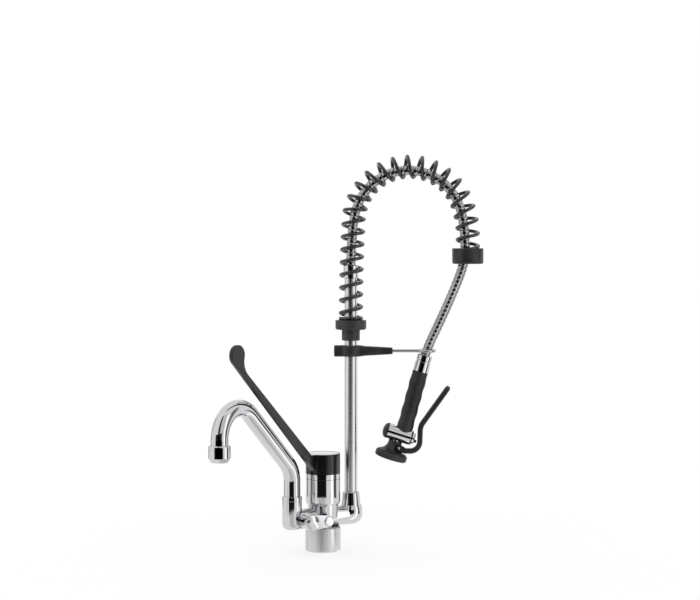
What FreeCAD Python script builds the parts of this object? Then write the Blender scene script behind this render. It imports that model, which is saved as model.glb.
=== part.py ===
"""Pre-rinse faucet: a single-hole mixer with a long lever, a swivel spout with its own
quarter-turn valve, and a column that carries a hose in a spring arch and a hand spray.

Millimetres, Z up. The origin is the centre of the pedestal's bottom face, on the deck.
X runs along the mixer's two arms, spout at -X and column at +X, and the front is -Y.
"""
import FreeCAD, Part
import math
import os

V = FreeCAD.Vector

# Clearances
SLIP = 0.1            # between pieces that are fixed to one another
RUN = 0.08            # round a turning or sliding piece
GAP = 0.3             # between faces of pieces that move past one another

# Pedestal and what it holds
BASE_R = 27.2
BASE_H = 36.0
BASE_WALL = 3.0
BASE_LIP_R = 20.0     # opening at the bottom
BASE_LIP_H = 6.0
BASE_EDGE_R = 2.5
BASE_CHAMFER = 0.6
GASKET_IN_R = 20.9
GASKET_WIDTH = 2.4
GASKET_T = 1.8
FOOT_RECESS = 12.0    # from the deck up to the brass foot
INLET_X = 7.5
INLET_Y = 10.0
INLET_R = 4.5         # M10 x 1 thread
INLET_LENGTH = 12.0
CHANNEL_R = 2.75
STUD_Y = -12.0
STUD_R = 3.4          # M8 thread
STUD_LENGTH = 16.0

# Mixer body: heights are measured from the arms' axis
ARM_R = 14.0
PASSAGE_R = 5.5
SPOUT_X = -54.8
COLUMN_X = 50.8
BOSS_R = 15.5         # inlet boss behind the crossing
BOSS_Y = 3.0
SOCKET_R = 15.1
SOCKET_RISE = 30.6
SOCKET_CORNER = 9.0
SOCKET_BORE_R = 13.2
SOCKET_DEPTH = 23.6
ELBOW_R = 17.3        # widest part of the column's elbow
ELBOW_TOP_R = 14.8
ELBOW_RISE = 16.4
PORT_SPIGOT_R = 12.3
PORT_SPIGOT_H = 11.1
HOUSING_R = 26.6
HOUSING_RISE = 30.0
HOUSING_H = 30.7
FUNNEL_R = 14.5       # where the housing's funnel leaves the arms
POCKET_R = 20.2
POCKET_DEPTH = 35.7
NUT_SEAT_R = 22.0
NUT_SEAT_DEPTH = 10.7
OUTLET_Y = -8.0
OUTLET_R = 3.5

# Cartridge, its nut and the cover ring
CARTRIDGE_NECK_R = 12.0
CARTRIDGE_NECK_H = 9.0
STEM_R = 5.0
STEM_DEPTH = 11.0     # how far the stem reaches into the cartridge
NUT_H = 8.0
NUT_NOTCH_W = 5.0
COVER_H = 7.9
COVER_SKIRT_H = 2.3
COVER_SKIRT_WALL = 2.5
COVER_BORE_R = 14.0

# Mixer lever
SWIVEL_AZIMUTH = 204.0   # where lever and spout point, turned from +X towards +Y
HUB_R = 26.65
HUB_H = 30.5
HUB_WALL = 3.2
HUB_CORE_R = 9.0
HUB_ROOF_T = 9.9
CAP_R = 23.9
CAP_RECESS = 2.4
CAP_CROWN = 1.3
STEM_COVER = 13.4     # from the stem's end up to the hub's top
LEVER_SCREW_R = 2.5
LEVER_SCREW_HEAD_R = 4.3
LEVER_SCREW_HEAD_H = 5.0
LEVER_SCREW_GRIP = 16.0
PADDLE_S = 214.6      # paddle's centre, out from the hub's axis
PADDLE_RISE = 192.1   # and up from the hub's underside
PADDLE_R = 15.0
NECK_FILLET = 25.0
LEVER_FOOT_S = 20.6   # where the lower edge leaves the hub's underside
LEVER_ROOT_S = 35.0   # where the upper edge leaves the hub's top
LEVER_NECK_T = 8.4    # bar's height just short of the paddle
LEVER_ROOT_HALF_W = 4.7
LEVER_TIP_HALF_W = 3.0
LEVER_EDGE_R = 1.0

# Spout: heights are measured from the socket's rim
SPOUT_R = 12.9
SPOUT_WALL = 1.5
SPOUT_REACH = 177.0
SPOUT_RISER = 46.5    # up to where the riser's axis meets the slope's
SPOUT_BEND_R = 40.0
SPOUT_SLOPE = 41.5    # degrees above level
SPOUT_ARCH_R = 42.7
SPOUT_NUT_R = 15.5
SPOUT_NUT_H = 7.0
SPOUT_COLLAR_R = 14.2
SPOUT_COLLAR_H = 2.4
SPIGOT_DEPTH = 21.6
SPIGOT_BORE_R = 8.5
SPIGOT_TENON_H = 12.0
ORING_W = 2.8
ORING_GROOVE = 1.9
ORING_DEPTHS = (17.1, 9.1)
AERATOR_R = 16.3
AERATOR_RISE = 76.9
AERATOR_H = 24.4
AERATOR_RIM_R = 12.6
AERATOR_CHAMFER_H = 6.2
AERATOR_BORE_R = 11.2
AERATOR_SEAT_H = 13.0
INSERT_T = 7.0
INSERT_HOLE_R = 1.1
WASHER_T = 1.6

# Spout valve and its knob, on the front of the left arm
KNOB_X = -38.8
KNOB_R = 12.0
KNOB_REACH = 28.4     # hub's axis to the middle of the end
KNOB_END_R = 8.4
KNOB_BACK = 16.0      # distances in front of the arm's axis
KNOB_ARM_BACK = 28.0
KNOB_ARM_FACE = 35.6
KNOB_END_FACE = 37.6
KNOB_FACE = 37.0
KNOB_CROWN = 2.0
KNOB_SOCKET = 10.0    # depth of the spindle's hole
KNOB_SCREW_DEPTH = 5.0
KNOB_SCREW_R = 2.0
VALVE_BOSS_R = 11.0
VALVE_BOSS_FACE = 15.0
HEADWORK_R = 8.4
HEADWORK_BACK = 3.0   # how far it reaches behind the arm's axis
SPINDLE_R = 3.5

# Column
COLUMN_R = 10.0
COLUMN_WALL = 1.5
COLUMN_SEAT = 2.0     # from the arms' axis up to the tube's foot
COLUMN_L = 369.0
COLUMN_NUT_FOOT_R = 14.8
COLUMN_NUT_TOP_R = 12.8
COLUMN_NUT_H = 20.2
COLUMN_SEAL_T = 3.2
TOP_NUT_R = 11.75
TOP_NUT_SKIRT = 3.0
TOP_NUT_H = 20.5
TOP_NUT_LIP = 9.0
TOP_WASHER_T = 2.0

# Lower spring cup
CUP_R = 24.0
CUP_DROP = 68.1       # from the column's end down to the cup's top
LOWER_CUP_H = 14.7
LOWER_NECK_R = 14.1
LOWER_NECK_H = 16.8
LOWER_CUP_CORNER = 3.0
GRUB_R = 2.5
GRUB_RISE = 8.0

# Arch: its plane passes through the column, U is out from the column's axis
ARCH_AZIMUTH = -32.0
SPRING_R = 16.4       # mean radius of the coil
WIRE_R = 2.6
COILS = 23            # open coils, between an outermost point at each end
FIRST_COIL = 8.2      # way along the centreline to the first outermost point
LAST_COIL = 17.6      # and from the last one to the upper cup's floor
LEG_R = 2732.0        # the left leg leans a little, as a very large arc
LEG_TURN = 3.23
CROWN_R = 87.0
CROWN_TURN = 156.77
SHOULDER_R = 150.0
RIGHT_LEG_L = 32.4    # straight end of the centreline, down to the cup's floor
SPRING_CLOSING = 1.5  # turns of the end coil in the upper cup
RIGHT_CUP_H = 24.6
RIGHT_CUP_FLOOR_T = 7.6
RIGHT_CUP_CORNER = 4.0
RIGHT_CUP_HOLE_R = 14.6

# Hose, and the corners of its route as (U, Z)
HOSE_R = 7.5
HOSE_VALLEY_R = 6.9
HOSE_BORE_R = 4.5
RIBS = 80
HOSE_LEG = ((0, 446), (1.2, 472))
HOSE_CENTRE = (89.5, 501.5)
HOSE_ARCH_R = 84.5
HOSE_STEPS = 8
HOSE_FALL = ((178.6, 470), (176.6, 441), (161.4, 401.5), (141.2, 356.0))
FERRULE_R = 9.7
FERRULE_H = 5.2

# Arm that holds the hose above the hand spray
ARM_DROP = 115.9      # from the column's end down to the arm's axis
CLAMP_H = 17.1
CLAMP_TIP_H = 10.3
CLAMP_R = 15.5
CLAMP_BACK = 25.0
CLAMP_TAPER_U = 12.0
CLAMP_TIP_U = 65.0
CLAMP_EAR_W = 13.0
CLAMP_SLIT = 1.6
CLAMP_SCREW_BACK = 19.6
CLAMP_SCREW_R = 2.5
CLAMP_SCREW_HEAD_R = 4.2
CLAMP_SCREW_HEAD_H = 3.0
ROD_R = 2.3
ROD_SOCKET_L = 12.0
RING_U = 119.0
RING_R = 12.2         # to the middle of the wire

# Hand spray: places are (U, Z) in the arch's plane
GRIP_FOOT = (83.4, 181.0)
HANDLE_DIR = (0.266, 0.964)
GRIP_L = 94.8
GRIP_R = 12.1
GRIP_BORE_R = 6.1
GRIP_WAVES = 4
GRIP_WAVE = 0.25
NECK_R = 11.3
NECK_L = 17.5
NECK_RIM_L = 2.5
HOSE_NUT_R = 11.4
HOSE_NUT_L = 10.2
NUT_RECESS = 5.0      # how far the hose goes into its nut
SWIVEL_R = 6.2
SWIVEL_L = 9.0
VALVE_END = (58.0, 181.3)
VALVE_DIR = (0.926, -0.377)
VALVE_R = 10.8
VALVE_L = 36.0
CHAMBER_R = 6.5
CHAMBER_END = 6.0
CAP_DOME_L = 8.2
GLAND_RING_R = 9.8
GLAND_RING_T = 2.0
GLAND_NUT_R = 8.6
GLAND_NUT_L = 5.0
GLAND_SPIGOT_L = 5.0
VALVE_STEM_R = 2.5
VALVE_STEM_L = 34.4
VALVE_STEM_ROOT = 13.0
STEM_COLLAR_R = 5.6
STEM_COLLAR_T = 3.0
STEM_COLLAR_SET = 4.0
RETURN_SPRING_R = 5.2
RETURN_SPRING_BORE_R = 3.2
SPRAY_FACE = (61.2, 138.0)
SPRAY_DIR = (0.342, 0.940)
BUMPER_R = 24.5
BUMPER_H = 10.5
BUMPER_WALL = 4.5
FACE_T = 2.2
FACE_INSET = 1.4
FACE_HOLE_R = 0.9
BELL_R = 21.6
BELL_H = 3.4
BELL_NECK_R = 9.0
BELL_NECK_TOP = 34.0
OUTLET_STUB_R = 6.3
OUTLET_STUB_L = 6.4
JET_R = 3.2

# Trigger, with the corners of its middle line as (U, Z)
PIVOT = (74.1, 154.0)
TRIGGER_LINE = ((90.5, 147.8), (106.2, 155.0), (109.3, 188.5), (154.2, 248.7))
TRIGGER_BENDS = (10.0, 9.0, 22.0)
TRIGGER_W = 14.0
TRIGGER_T = 6.6
PIN_R = 1.9
LUG_HALF_W = 4.0
LUG_R = 6.0

# Levels and places that follow from the sizes above
ARM_Z = BASE_H + ARM_R
SOCKET_TOP = ARM_Z + SOCKET_RISE
SOCKET_FLOOR = SOCKET_TOP - SOCKET_DEPTH
PORT_TOP = ARM_Z + ELBOW_RISE
PORT_SPIGOT_TOP = PORT_TOP + PORT_SPIGOT_H
HOUSING_BOTTOM = ARM_Z + HOUSING_RISE
HOUSING_TOP = HOUSING_BOTTOM + HOUSING_H
POCKET_FLOOR = HOUSING_TOP - POCKET_DEPTH
NUT_SEAT_Z = HOUSING_TOP - NUT_SEAT_DEPTH
CARTRIDGE_NECK_TOP = NUT_SEAT_Z + CARTRIDGE_NECK_H
COVER_TOP = HOUSING_TOP + COVER_H
HUB_BOTTOM = COVER_TOP + GAP
HUB_TOP = HUB_BOTTOM + HUB_H
CAP_SEAT_Z = HUB_TOP - CAP_RECESS
STEM_TOP = HUB_TOP - STEM_COVER
SCREW_SEAT_Z = STEM_TOP + SLIP + 4.9
SPOUT_COLLAR_Z = SOCKET_TOP + GAP
SPOUT_FOOT = SPOUT_COLLAR_Z + SPOUT_COLLAR_H
AERATOR_Z = SOCKET_TOP + AERATOR_RISE
COLUMN_FOOT_Z = ARM_Z + COLUMN_SEAT
COLUMN_TOP_Z = COLUMN_FOOT_Z + COLUMN_L
TOP_NUT_Z = COLUMN_TOP_Z - TOP_NUT_SKIRT
TOP_NUT_TOP = TOP_NUT_Z + TOP_NUT_H
TOP_NUT_LIP_Z = TOP_NUT_TOP - TOP_NUT_LIP
FERRULE_Z = COLUMN_TOP_Z + TOP_WASHER_T + 2 * GAP
LOWER_CUP_TOP = COLUMN_TOP_Z - CUP_DROP
ARM_MID_Z = COLUMN_TOP_Z - ARM_DROP
SHOULDER_TURN = 180.0 - LEG_TURN - CROWN_TURN


def place(point, at):
    return at(point[0], point[1])


def outline(points, at, closed=True):
    """Wire through points: (a, b) ends a line, (via_a, via_b, a, b) ends an arc."""
    edges = []
    here = points[0][-2:]
    rest = points[1:] + ([points[0][-2:]] if closed else [])
    for point in rest:
        start, end = place(here, at), place(point[-2:], at)
        if start.distanceToPoint(end) > 1e-6:
            if len(point) == 4:
                edges.append(Part.Arc(start, place(point[:2], at), end).toShape())
            else:
                edges.append(Part.LineSegment(start, end).toShape())
        here = point[-2:]
    return Part.Wire(edges)


def rounded(corners, closed=True):
    """Points for outline() from corners (a, b, radius), each rounded where radius > 0."""
    points = []
    count = len(corners)
    for i, (a, b, radius) in enumerate(corners):
        open_end = not closed and i in (0, count - 1)
        if radius <= 0 or open_end:
            points.append((a, b))
            continue
        before, after = corners[i - 1], corners[(i + 1) % count]
        to_before = V(before[0] - a, before[1] - b, 0).normalize()
        to_after = V(after[0] - a, after[1] - b, 0).normalize()
        half = to_before.getAngle(to_after) / 2
        reach = radius / math.tan(half)
        corner = V(a, b, 0)
        middle = (to_before + to_after).normalize()
        via = corner + middle * (radius / math.sin(half) - radius)
        start, end = corner + to_before * reach, corner + to_after * reach
        points.append((start.x, start.y))
        points.append((via.x, via.y, end.x, end.y))
    return points


def upright(a, b):
    return V(a, 0, b)


def flat(a, b):
    return V(a, b, 0)


def turned(points):
    """Solid turned about Z from an outline of (radius, height) points."""
    face = Part.Face(outline(points, upright))
    return face.revolve(V(0, 0, 0), V(0, 0, 1), 360)


def dome(radius, low, crown):
    """Arc of an outline from a rim at this radius and height up to the top on the axis."""
    ball = (radius ** 2 + crown ** 2) / (2 * crown)
    half = math.asin(radius / ball) / 2
    top = low + crown
    return (ball * math.sin(half), top - ball * (1 - math.cos(half)), 0, top)


def rod(radius, low, high):
    return Part.makeCylinder(radius, high - low, V(0, 0, low))


def ring(inner, outer, low, high):
    return rod(outer, low, high).cut(rod(inner, low - 1, high + 1))


def moved(shape, x=0.0, y=0.0, z=0.0):
    copy = shape.copy()
    copy.translate(V(x, y, z))
    return copy


def swung(shape, azimuth, x=0.0):
    """Carry a piece built in the XZ plane round Z to its azimuth, then out along X."""
    copy = shape.copy()
    copy.rotate(V(0, 0, 0), V(0, 0, 1), azimuth)
    copy.translate(V(x, 0, 0))
    return copy


def arch_placed(shape):
    """Carry a piece built in the XZ plane into the arch's plane, with U along X."""
    return swung(shape, ARCH_AZIMUTH, COLUMN_X)


def along(shape, foot, direction):
    """Carry a piece built on Z to a line in the XZ plane, from its foot."""
    copy = shape.copy()
    turn = FreeCAD.Rotation(V(0, 0, 1), V(direction[0], 0, direction[1]))
    copy.Placement = FreeCAD.Placement(V(foot[0], 0, foot[1]), turn).multiply(copy.Placement)
    return copy


def facing_front(shape, x, z):
    """Carry a piece built on Z so that its Z points to the front."""
    copy = shape.copy()
    copy.rotate(V(0, 0, 0), V(1, 0, 0), 90)
    copy.translate(V(x, 0, z))
    return copy


def swept(radius, path):
    edge = path.OrderedEdges[0]
    start = edge.valueAt(edge.FirstParameter)
    heading = edge.tangentAt(edge.FirstParameter)
    profile = Part.Wire(Part.makeCircle(radius, start, heading))
    return path.makePipeShell([profile], True, False)


def on_line(foot, direction, distance):
    return (foot[0] + direction[0] * distance, foot[1] + direction[1] * distance)


def lever_outline():
    """Side view of the lever's bar and paddle, as (out from the hub's axis, height)."""
    start = V(LEVER_FOOT_S, HUB_BOTTOM, 0)
    centre = V(PADDLE_S, HUB_BOTTOM + PADDLE_RISE, 0)
    to_centre = centre - start
    rise = math.atan2(to_centre.y, to_centre.x) - math.asin(PADDLE_R / to_centre.Length)
    ahead = V(math.cos(rise), math.sin(rise), 0)
    touch = start + ahead * math.sqrt(to_centre.Length ** 2 - PADDLE_R ** 2)

    # The upper edge runs from the hub's top to the neck, a little steeper than the lower
    root = V(LEVER_ROOT_S, HUB_TOP, 0)
    above = V(-ahead.y, ahead.x, 0)
    neck = touch - ahead * (PADDLE_R * 2) + above * LEVER_NECK_T
    along_top = (neck - root).normalize()
    up = V(-along_top.y, along_top.x, 0)
    offset = (centre - root).dot(up)
    reach = math.sqrt((NECK_FILLET + PADDLE_R) ** 2 - (NECK_FILLET - offset) ** 2)
    foot = root + along_top * ((centre - root).dot(along_top) - reach)
    fillet_centre = foot + up * NECK_FILLET
    join = centre + (fillet_centre - centre).normalize() * PADDLE_R
    bend = fillet_centre + ((join + foot) * 0.5 - fillet_centre).normalize() * NECK_FILLET
    tip = centre + (centre - (touch + join) * 0.5).normalize() * PADDLE_R
    if (tip - root).Length < (centre - root).Length:
        tip = centre * 2 - tip
    return [
        (HUB_CORE_R, HUB_BOTTOM),
        (start.x, start.y),
        (touch.x, touch.y),
        (tip.x, tip.y, join.x, join.y),
        (bend.x, bend.y, foot.x, foot.y),
        (root.x, root.y),
        (HUB_CORE_R, HUB_TOP),
    ]


def base_sleeve():
    inner = BASE_R - BASE_WALL
    groove_out = GASKET_IN_R + GASKET_WIDTH
    return turned(rounded([
        (BASE_LIP_R, 0, 0),
        (GASKET_IN_R, 0, 0),
        (GASKET_IN_R, GASKET_T, 0),
        (groove_out, GASKET_T, 0),
        (groove_out, 0, 0),
        (BASE_R, 0, BASE_EDGE_R),
        (BASE_R, BASE_H - BASE_CHAMFER, 0),
        (BASE_R - BASE_CHAMFER, BASE_H, 0),
        (inner, BASE_H, 0),
        (inner, BASE_LIP_H, 0),
        (BASE_LIP_R, BASE_LIP_H, 0),
    ]))


def base_gasket():
    return ring(GASKET_IN_R + SLIP, GASKET_IN_R + GASKET_WIDTH - SLIP, 0, GASKET_T)


def foot_block():
    """Brass foot with the two inlet threads and the stud thread in its underside."""
    block = rod(BASE_R - BASE_WALL - SLIP, FOOT_RECESS, BASE_H)
    for side in (-1, 1):
        thread = rod(INLET_R, FOOT_RECESS - 1, FOOT_RECESS + INLET_LENGTH)
        channel = rod(CHANNEL_R, FOOT_RECESS, BASE_H + 1)
        block = block.cut(moved(thread.fuse(channel), side * INLET_X, INLET_Y))
    stud = rod(STUD_R, FOOT_RECESS - 1, FOOT_RECESS + STUD_LENGTH)
    return block.cut(moved(stud, 0, STUD_Y))


def mixer_body():
    """Casting: two arms on one axis, spout socket, column elbow and cartridge housing."""
    length = COLUMN_X - SPOUT_X
    arms = Part.makeCylinder(ARM_R, length, V(SPOUT_X, 0, ARM_Z), V(1, 0, 0))
    socket = moved(turned(rounded([
        (0, BASE_H + 0.4, 0),
        (SOCKET_R, BASE_H + 0.4, SOCKET_CORNER),
        (SOCKET_R, SOCKET_TOP, 0),
        (0, SOCKET_TOP, 0),
    ])), SPOUT_X)
    elbow = moved(turned([
        (0, BASE_H + 0.2),
        (4.0, BASE_H + 0.2),
        (ELBOW_R - 4.3, BASE_H + 5.6, ELBOW_R, ARM_Z + 1.5),
        (ELBOW_R - 0.8, ARM_Z + 8.5, ELBOW_TOP_R, PORT_TOP),
        (PORT_SPIGOT_R - SLIP, PORT_TOP),
        (PORT_SPIGOT_R - SLIP, PORT_SPIGOT_TOP),
        (0, PORT_SPIGOT_TOP),
    ]), COLUMN_X)
    housing = turned([
        (0, ARM_Z),
        (FUNNEL_R, ARM_Z),
        (FUNNEL_R, HOUSING_BOTTOM - 18.0),
        (FUNNEL_R + 2.7, HOUSING_BOTTOM - 9.5, HOUSING_R - 3.6, HOUSING_BOTTOM - 4.0),
        (HOUSING_R - 1.0, HOUSING_BOTTOM - 2.6, HOUSING_R, HOUSING_BOTTOM),
        (HOUSING_R, HOUSING_TOP),
        (0, HOUSING_TOP),
    ])
    boss = moved(rod(BOSS_R, BASE_H, POCKET_FLOOR), 0, BOSS_Y)
    valve_boss = facing_front(rod(VALVE_BOSS_R, 0, VALVE_BOSS_FACE), KNOB_X, ARM_Z)

    body = arms.fuse([socket, elbow, housing, boss, valve_boss]).removeSplitter()

    body = body.cut(rod(POCKET_R, POCKET_FLOOR, HOUSING_TOP + 1))
    body = body.cut(rod(NUT_SEAT_R, NUT_SEAT_Z, HOUSING_TOP + 1))
    body = body.cut(moved(rod(SOCKET_BORE_R, SOCKET_FLOOR, SOCKET_TOP + 1), SPOUT_X))
    body = body.cut(moved(rod(PASSAGE_R, ARM_Z, SOCKET_FLOOR), SPOUT_X))
    body = body.cut(moved(rod(COLUMN_R + SLIP, COLUMN_FOOT_Z, PORT_SPIGOT_TOP + 1), COLUMN_X))
    passage = Part.makeCylinder(PASSAGE_R, length, V(SPOUT_X, 0, ARM_Z), V(1, 0, 0))
    body = body.cut(passage)
    for side in (-1, 1):
        inlet = moved(rod(CHANNEL_R, BASE_H - 1, POCKET_FLOOR + 1), side * INLET_X, INLET_Y)
        body = body.cut(inlet)
    body = body.cut(moved(rod(OUTLET_R, ARM_Z, POCKET_FLOOR + 1), 0, OUTLET_Y))
    headwork_bore = rod(HEADWORK_R + SLIP, -HEADWORK_BACK, VALVE_BOSS_FACE + 1)
    return body.cut(facing_front(headwork_bore, KNOB_X, ARM_Z))


def ceramic_cartridge():
    top = NUT_SEAT_Z
    body = turned([
        (0, POCKET_FLOOR),
        (POCKET_R - SLIP, POCKET_FLOOR),
        (POCKET_R - SLIP, top),
        (CARTRIDGE_NECK_R, top),
        (CARTRIDGE_NECK_R, CARTRIDGE_NECK_TOP),
        (0, CARTRIDGE_NECK_TOP),
    ])
    stem_foot = CARTRIDGE_NECK_TOP - STEM_DEPTH
    return body.cut(rod(STEM_R + RUN, stem_foot - GAP, CARTRIDGE_NECK_TOP + 1))


def cartridge_nut():
    nut = ring(CARTRIDGE_NECK_R + SLIP, NUT_SEAT_R - SLIP, NUT_SEAT_Z, NUT_SEAT_Z + NUT_H)
    for turn in range(4):
        corner = V(NUT_SEAT_R - 6, -NUT_NOTCH_W / 2, NUT_SEAT_Z + NUT_H - 3)
        notch = Part.makeBox(8, NUT_NOTCH_W, 4, corner)
        notch.rotate(V(0, 0, 0), V(0, 0, 1), 45 + 90 * turn)
        nut = nut.cut(notch)
    return nut


def cover_ring():
    """Chrome ring between the housing and the lever's hub."""
    skirt_r = NUT_SEAT_R - SLIP
    skirt_z = HOUSING_TOP - COVER_SKIRT_H
    plate_z = COVER_TOP - COVER_SKIRT_WALL
    return turned([
        (skirt_r - COVER_SKIRT_WALL, skirt_z),
        (skirt_r, skirt_z),
        (skirt_r, HOUSING_TOP),
        (HOUSING_R, HOUSING_TOP),
        (HOUSING_R, COVER_TOP),
        (COVER_BORE_R, COVER_TOP),
        (COVER_BORE_R, plate_z),
        (skirt_r - COVER_SKIRT_WALL, plate_z),
    ])


def cartridge_stem():
    stem = rod(STEM_R, CARTRIDGE_NECK_TOP - STEM_DEPTH, STEM_TOP)
    return stem.cut(rod(LEVER_SCREW_R + SLIP, STEM_TOP - LEVER_SCREW_GRIP - 2, STEM_TOP + 1))


def mixer_lever():
    """Hub over the stem with the rising bar and its upright paddle in one moulding."""
    length = PADDLE_S + PADDLE_R + 10
    side_view = Part.Face(outline(lever_outline(), lambda a, b: V(a, -20, b)))
    bar = side_view.extrude(V(0, 40, 0))
    plan = Part.Face(outline([
        (0, -LEVER_ROOT_HALF_W),
        (length, -LEVER_TIP_HALF_W),
        (length, LEVER_TIP_HALF_W),
        (0, LEVER_ROOT_HALF_W),
    ], flat))
    bar = bar.common(plan.extrude(V(0, 0, HUB_TOP + length)))
    long_edges = [edge for edge in bar.Edges
                  if edge.CenterOfMass.x > HUB_R + 6 and abs(edge.CenterOfMass.y) > 1]
    bar = bar.makeFillet(LEVER_EDGE_R, long_edges)

    hub = rod(HUB_R, HUB_BOTTOM, HUB_TOP)
    hub = hub.fuse(bar).removeSplitter()
    hub = hub.cut(ring(HUB_CORE_R, HUB_R - HUB_WALL, HUB_BOTTOM - 1, HUB_TOP - HUB_ROOF_T))
    hub = hub.cut(rod(CAP_R + SLIP, CAP_SEAT_Z, HUB_TOP + 1))
    hub = hub.cut(rod(STEM_R + SLIP, HUB_BOTTOM - 1, STEM_TOP))
    hub = hub.cut(rod(LEVER_SCREW_R + SLIP, STEM_TOP - 1, CAP_SEAT_Z + 1))
    return hub.cut(rod(LEVER_SCREW_HEAD_R + SLIP, SCREW_SEAT_Z, CAP_SEAT_Z + 1))


def lever_screw():
    head = rod(LEVER_SCREW_HEAD_R, SCREW_SEAT_Z, SCREW_SEAT_Z + LEVER_SCREW_HEAD_H)
    shank = rod(LEVER_SCREW_R, STEM_TOP - LEVER_SCREW_GRIP, SCREW_SEAT_Z)
    key = rod(LEVER_SCREW_R - 0.5, SCREW_SEAT_Z + 2, SCREW_SEAT_Z + LEVER_SCREW_HEAD_H + 1)
    return head.fuse(shank).removeSplitter().cut(key)


def lever_cap():
    edge_z = HUB_TOP - 0.2
    return turned([
        (0, CAP_SEAT_Z),
        (CAP_R, CAP_SEAT_Z),
        (CAP_R, edge_z),
        dome(CAP_R, edge_z, CAP_CROWN),
    ])


def spout_path(low, high):
    """Riser, bend, slope, arch and fall of the spout's axis, between two heights."""
    rise = math.tan(math.radians(SPOUT_SLOPE)) * SPOUT_REACH
    return outline(rounded([
        (0, low, 0),
        (0, SOCKET_TOP + SPOUT_RISER, SPOUT_BEND_R),
        (SPOUT_REACH, SOCKET_TOP + SPOUT_RISER + rise, SPOUT_ARCH_R),
        (SPOUT_REACH, high, 0),
    ], closed=False), upright, closed=False)


def spout_tube():
    path = spout_path(SPOUT_FOOT, AERATOR_Z + AERATOR_SEAT_H)
    return swept(SPOUT_R, path).cut(swept(SPOUT_R - SPOUT_WALL, path))


def spout_spigot():
    """Turned end that sits in the socket, with two grooves and a collar under the nut."""
    tenon_r = SPOUT_R - SPOUT_WALL - SLIP
    body_r = SOCKET_BORE_R - RUN
    spigot = turned([
        (SPIGOT_BORE_R, SOCKET_TOP - SPIGOT_DEPTH),
        (body_r, SOCKET_TOP - SPIGOT_DEPTH),
        (body_r, SPOUT_COLLAR_Z),
        (SPOUT_COLLAR_R, SPOUT_COLLAR_Z),
        (SPOUT_COLLAR_R, SPOUT_FOOT),
        (tenon_r, SPOUT_FOOT),
        (tenon_r, SPOUT_FOOT + SPIGOT_TENON_H),
        (SPIGOT_BORE_R, SPOUT_FOOT + SPIGOT_TENON_H),
    ])
    for depth in ORING_DEPTHS:
        z = SOCKET_TOP - depth
        spigot = spigot.cut(ring(body_r - ORING_GROOVE, body_r + 1, z, z + ORING_W))
    return spigot


def spout_o_rings():
    body_r = SOCKET_BORE_R - RUN
    inner = body_r - ORING_GROOVE + SLIP
    levels = [SOCKET_TOP - depth for depth in ORING_DEPTHS]
    rings = [ring(inner, body_r, z + SLIP, z + ORING_W - SLIP) for z in levels]
    return Part.makeCompound(rings)


def spout_nut():
    """Ring screwed to the socket, with a recess for the spigot's collar."""
    recess_top = SPOUT_FOOT + GAP
    top = SOCKET_TOP + SPOUT_NUT_H
    return turned([
        (SPOUT_COLLAR_R + GAP, SOCKET_TOP),
        (SPOUT_NUT_R - 0.4, SOCKET_TOP),
        (SPOUT_NUT_R, SOCKET_TOP + 0.4),
        (SPOUT_NUT_R, top - 0.8),
        (SPOUT_NUT_R - 0.8, top),
        (SPOUT_R + GAP, top),
        (SPOUT_R + GAP, recess_top),
        (SPOUT_COLLAR_R + GAP, recess_top),
    ])


def aerator_housing():
    top = AERATOR_Z + AERATOR_H
    seat = AERATOR_Z + AERATOR_SEAT_H
    return turned([
        (AERATOR_BORE_R - 0.8, AERATOR_Z),
        (AERATOR_RIM_R, AERATOR_Z),
        (AERATOR_R, AERATOR_Z + AERATOR_CHAMFER_H),
        (AERATOR_R, top - 2.0),
        (AERATOR_R - 0.5, top - 0.6, AERATOR_R - 2.0, top),
        (SPOUT_R + SLIP, top),
        (SPOUT_R + SLIP, seat),
        (AERATOR_BORE_R, seat),
        (AERATOR_BORE_R, AERATOR_Z + 2.0),
        (AERATOR_BORE_R - 0.8, AERATOR_Z + 1.5),
    ])


def aerator_insert():
    """Flow straightener with rings of holes, held up against the washer."""
    top = AERATOR_Z + AERATOR_SEAT_H - WASHER_T
    insert = rod(AERATOR_BORE_R - SLIP, top - INSERT_T, top)
    for count, radius in ((1, 0.0), (6, 3.6), (12, 7.2)):
        for i in range(count):
            angle = 2 * math.pi * i / count
            hole = rod(INSERT_HOLE_R, top - INSERT_T - 1, top + 1)
            insert = insert.cut(moved(hole, radius * math.cos(angle), radius * math.sin(angle)))
    return insert


def aerator_washer():
    seat = AERATOR_Z + AERATOR_SEAT_H
    return ring(SPOUT_R - SPOUT_WALL - 3.0, AERATOR_BORE_R - SLIP, seat - WASHER_T, seat)


def valve_headwork():
    body = turned([
        (SPINDLE_R + RUN, 4 - HEADWORK_BACK),
        (SPINDLE_R + RUN, VALVE_BOSS_FACE - 1.0),
        (HEADWORK_R, VALVE_BOSS_FACE - 1.0),
        (HEADWORK_R, -HEADWORK_BACK),
        (0, -HEADWORK_BACK),
        (0, 4 - HEADWORK_BACK),
    ])
    return facing_front(body, KNOB_X, ARM_Z)


def headwork_spindle():
    spindle = rod(SPINDLE_R, 4 - HEADWORK_BACK + GAP, KNOB_BACK + KNOB_SOCKET)
    return facing_front(spindle, KNOB_X, ARM_Z)


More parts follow.
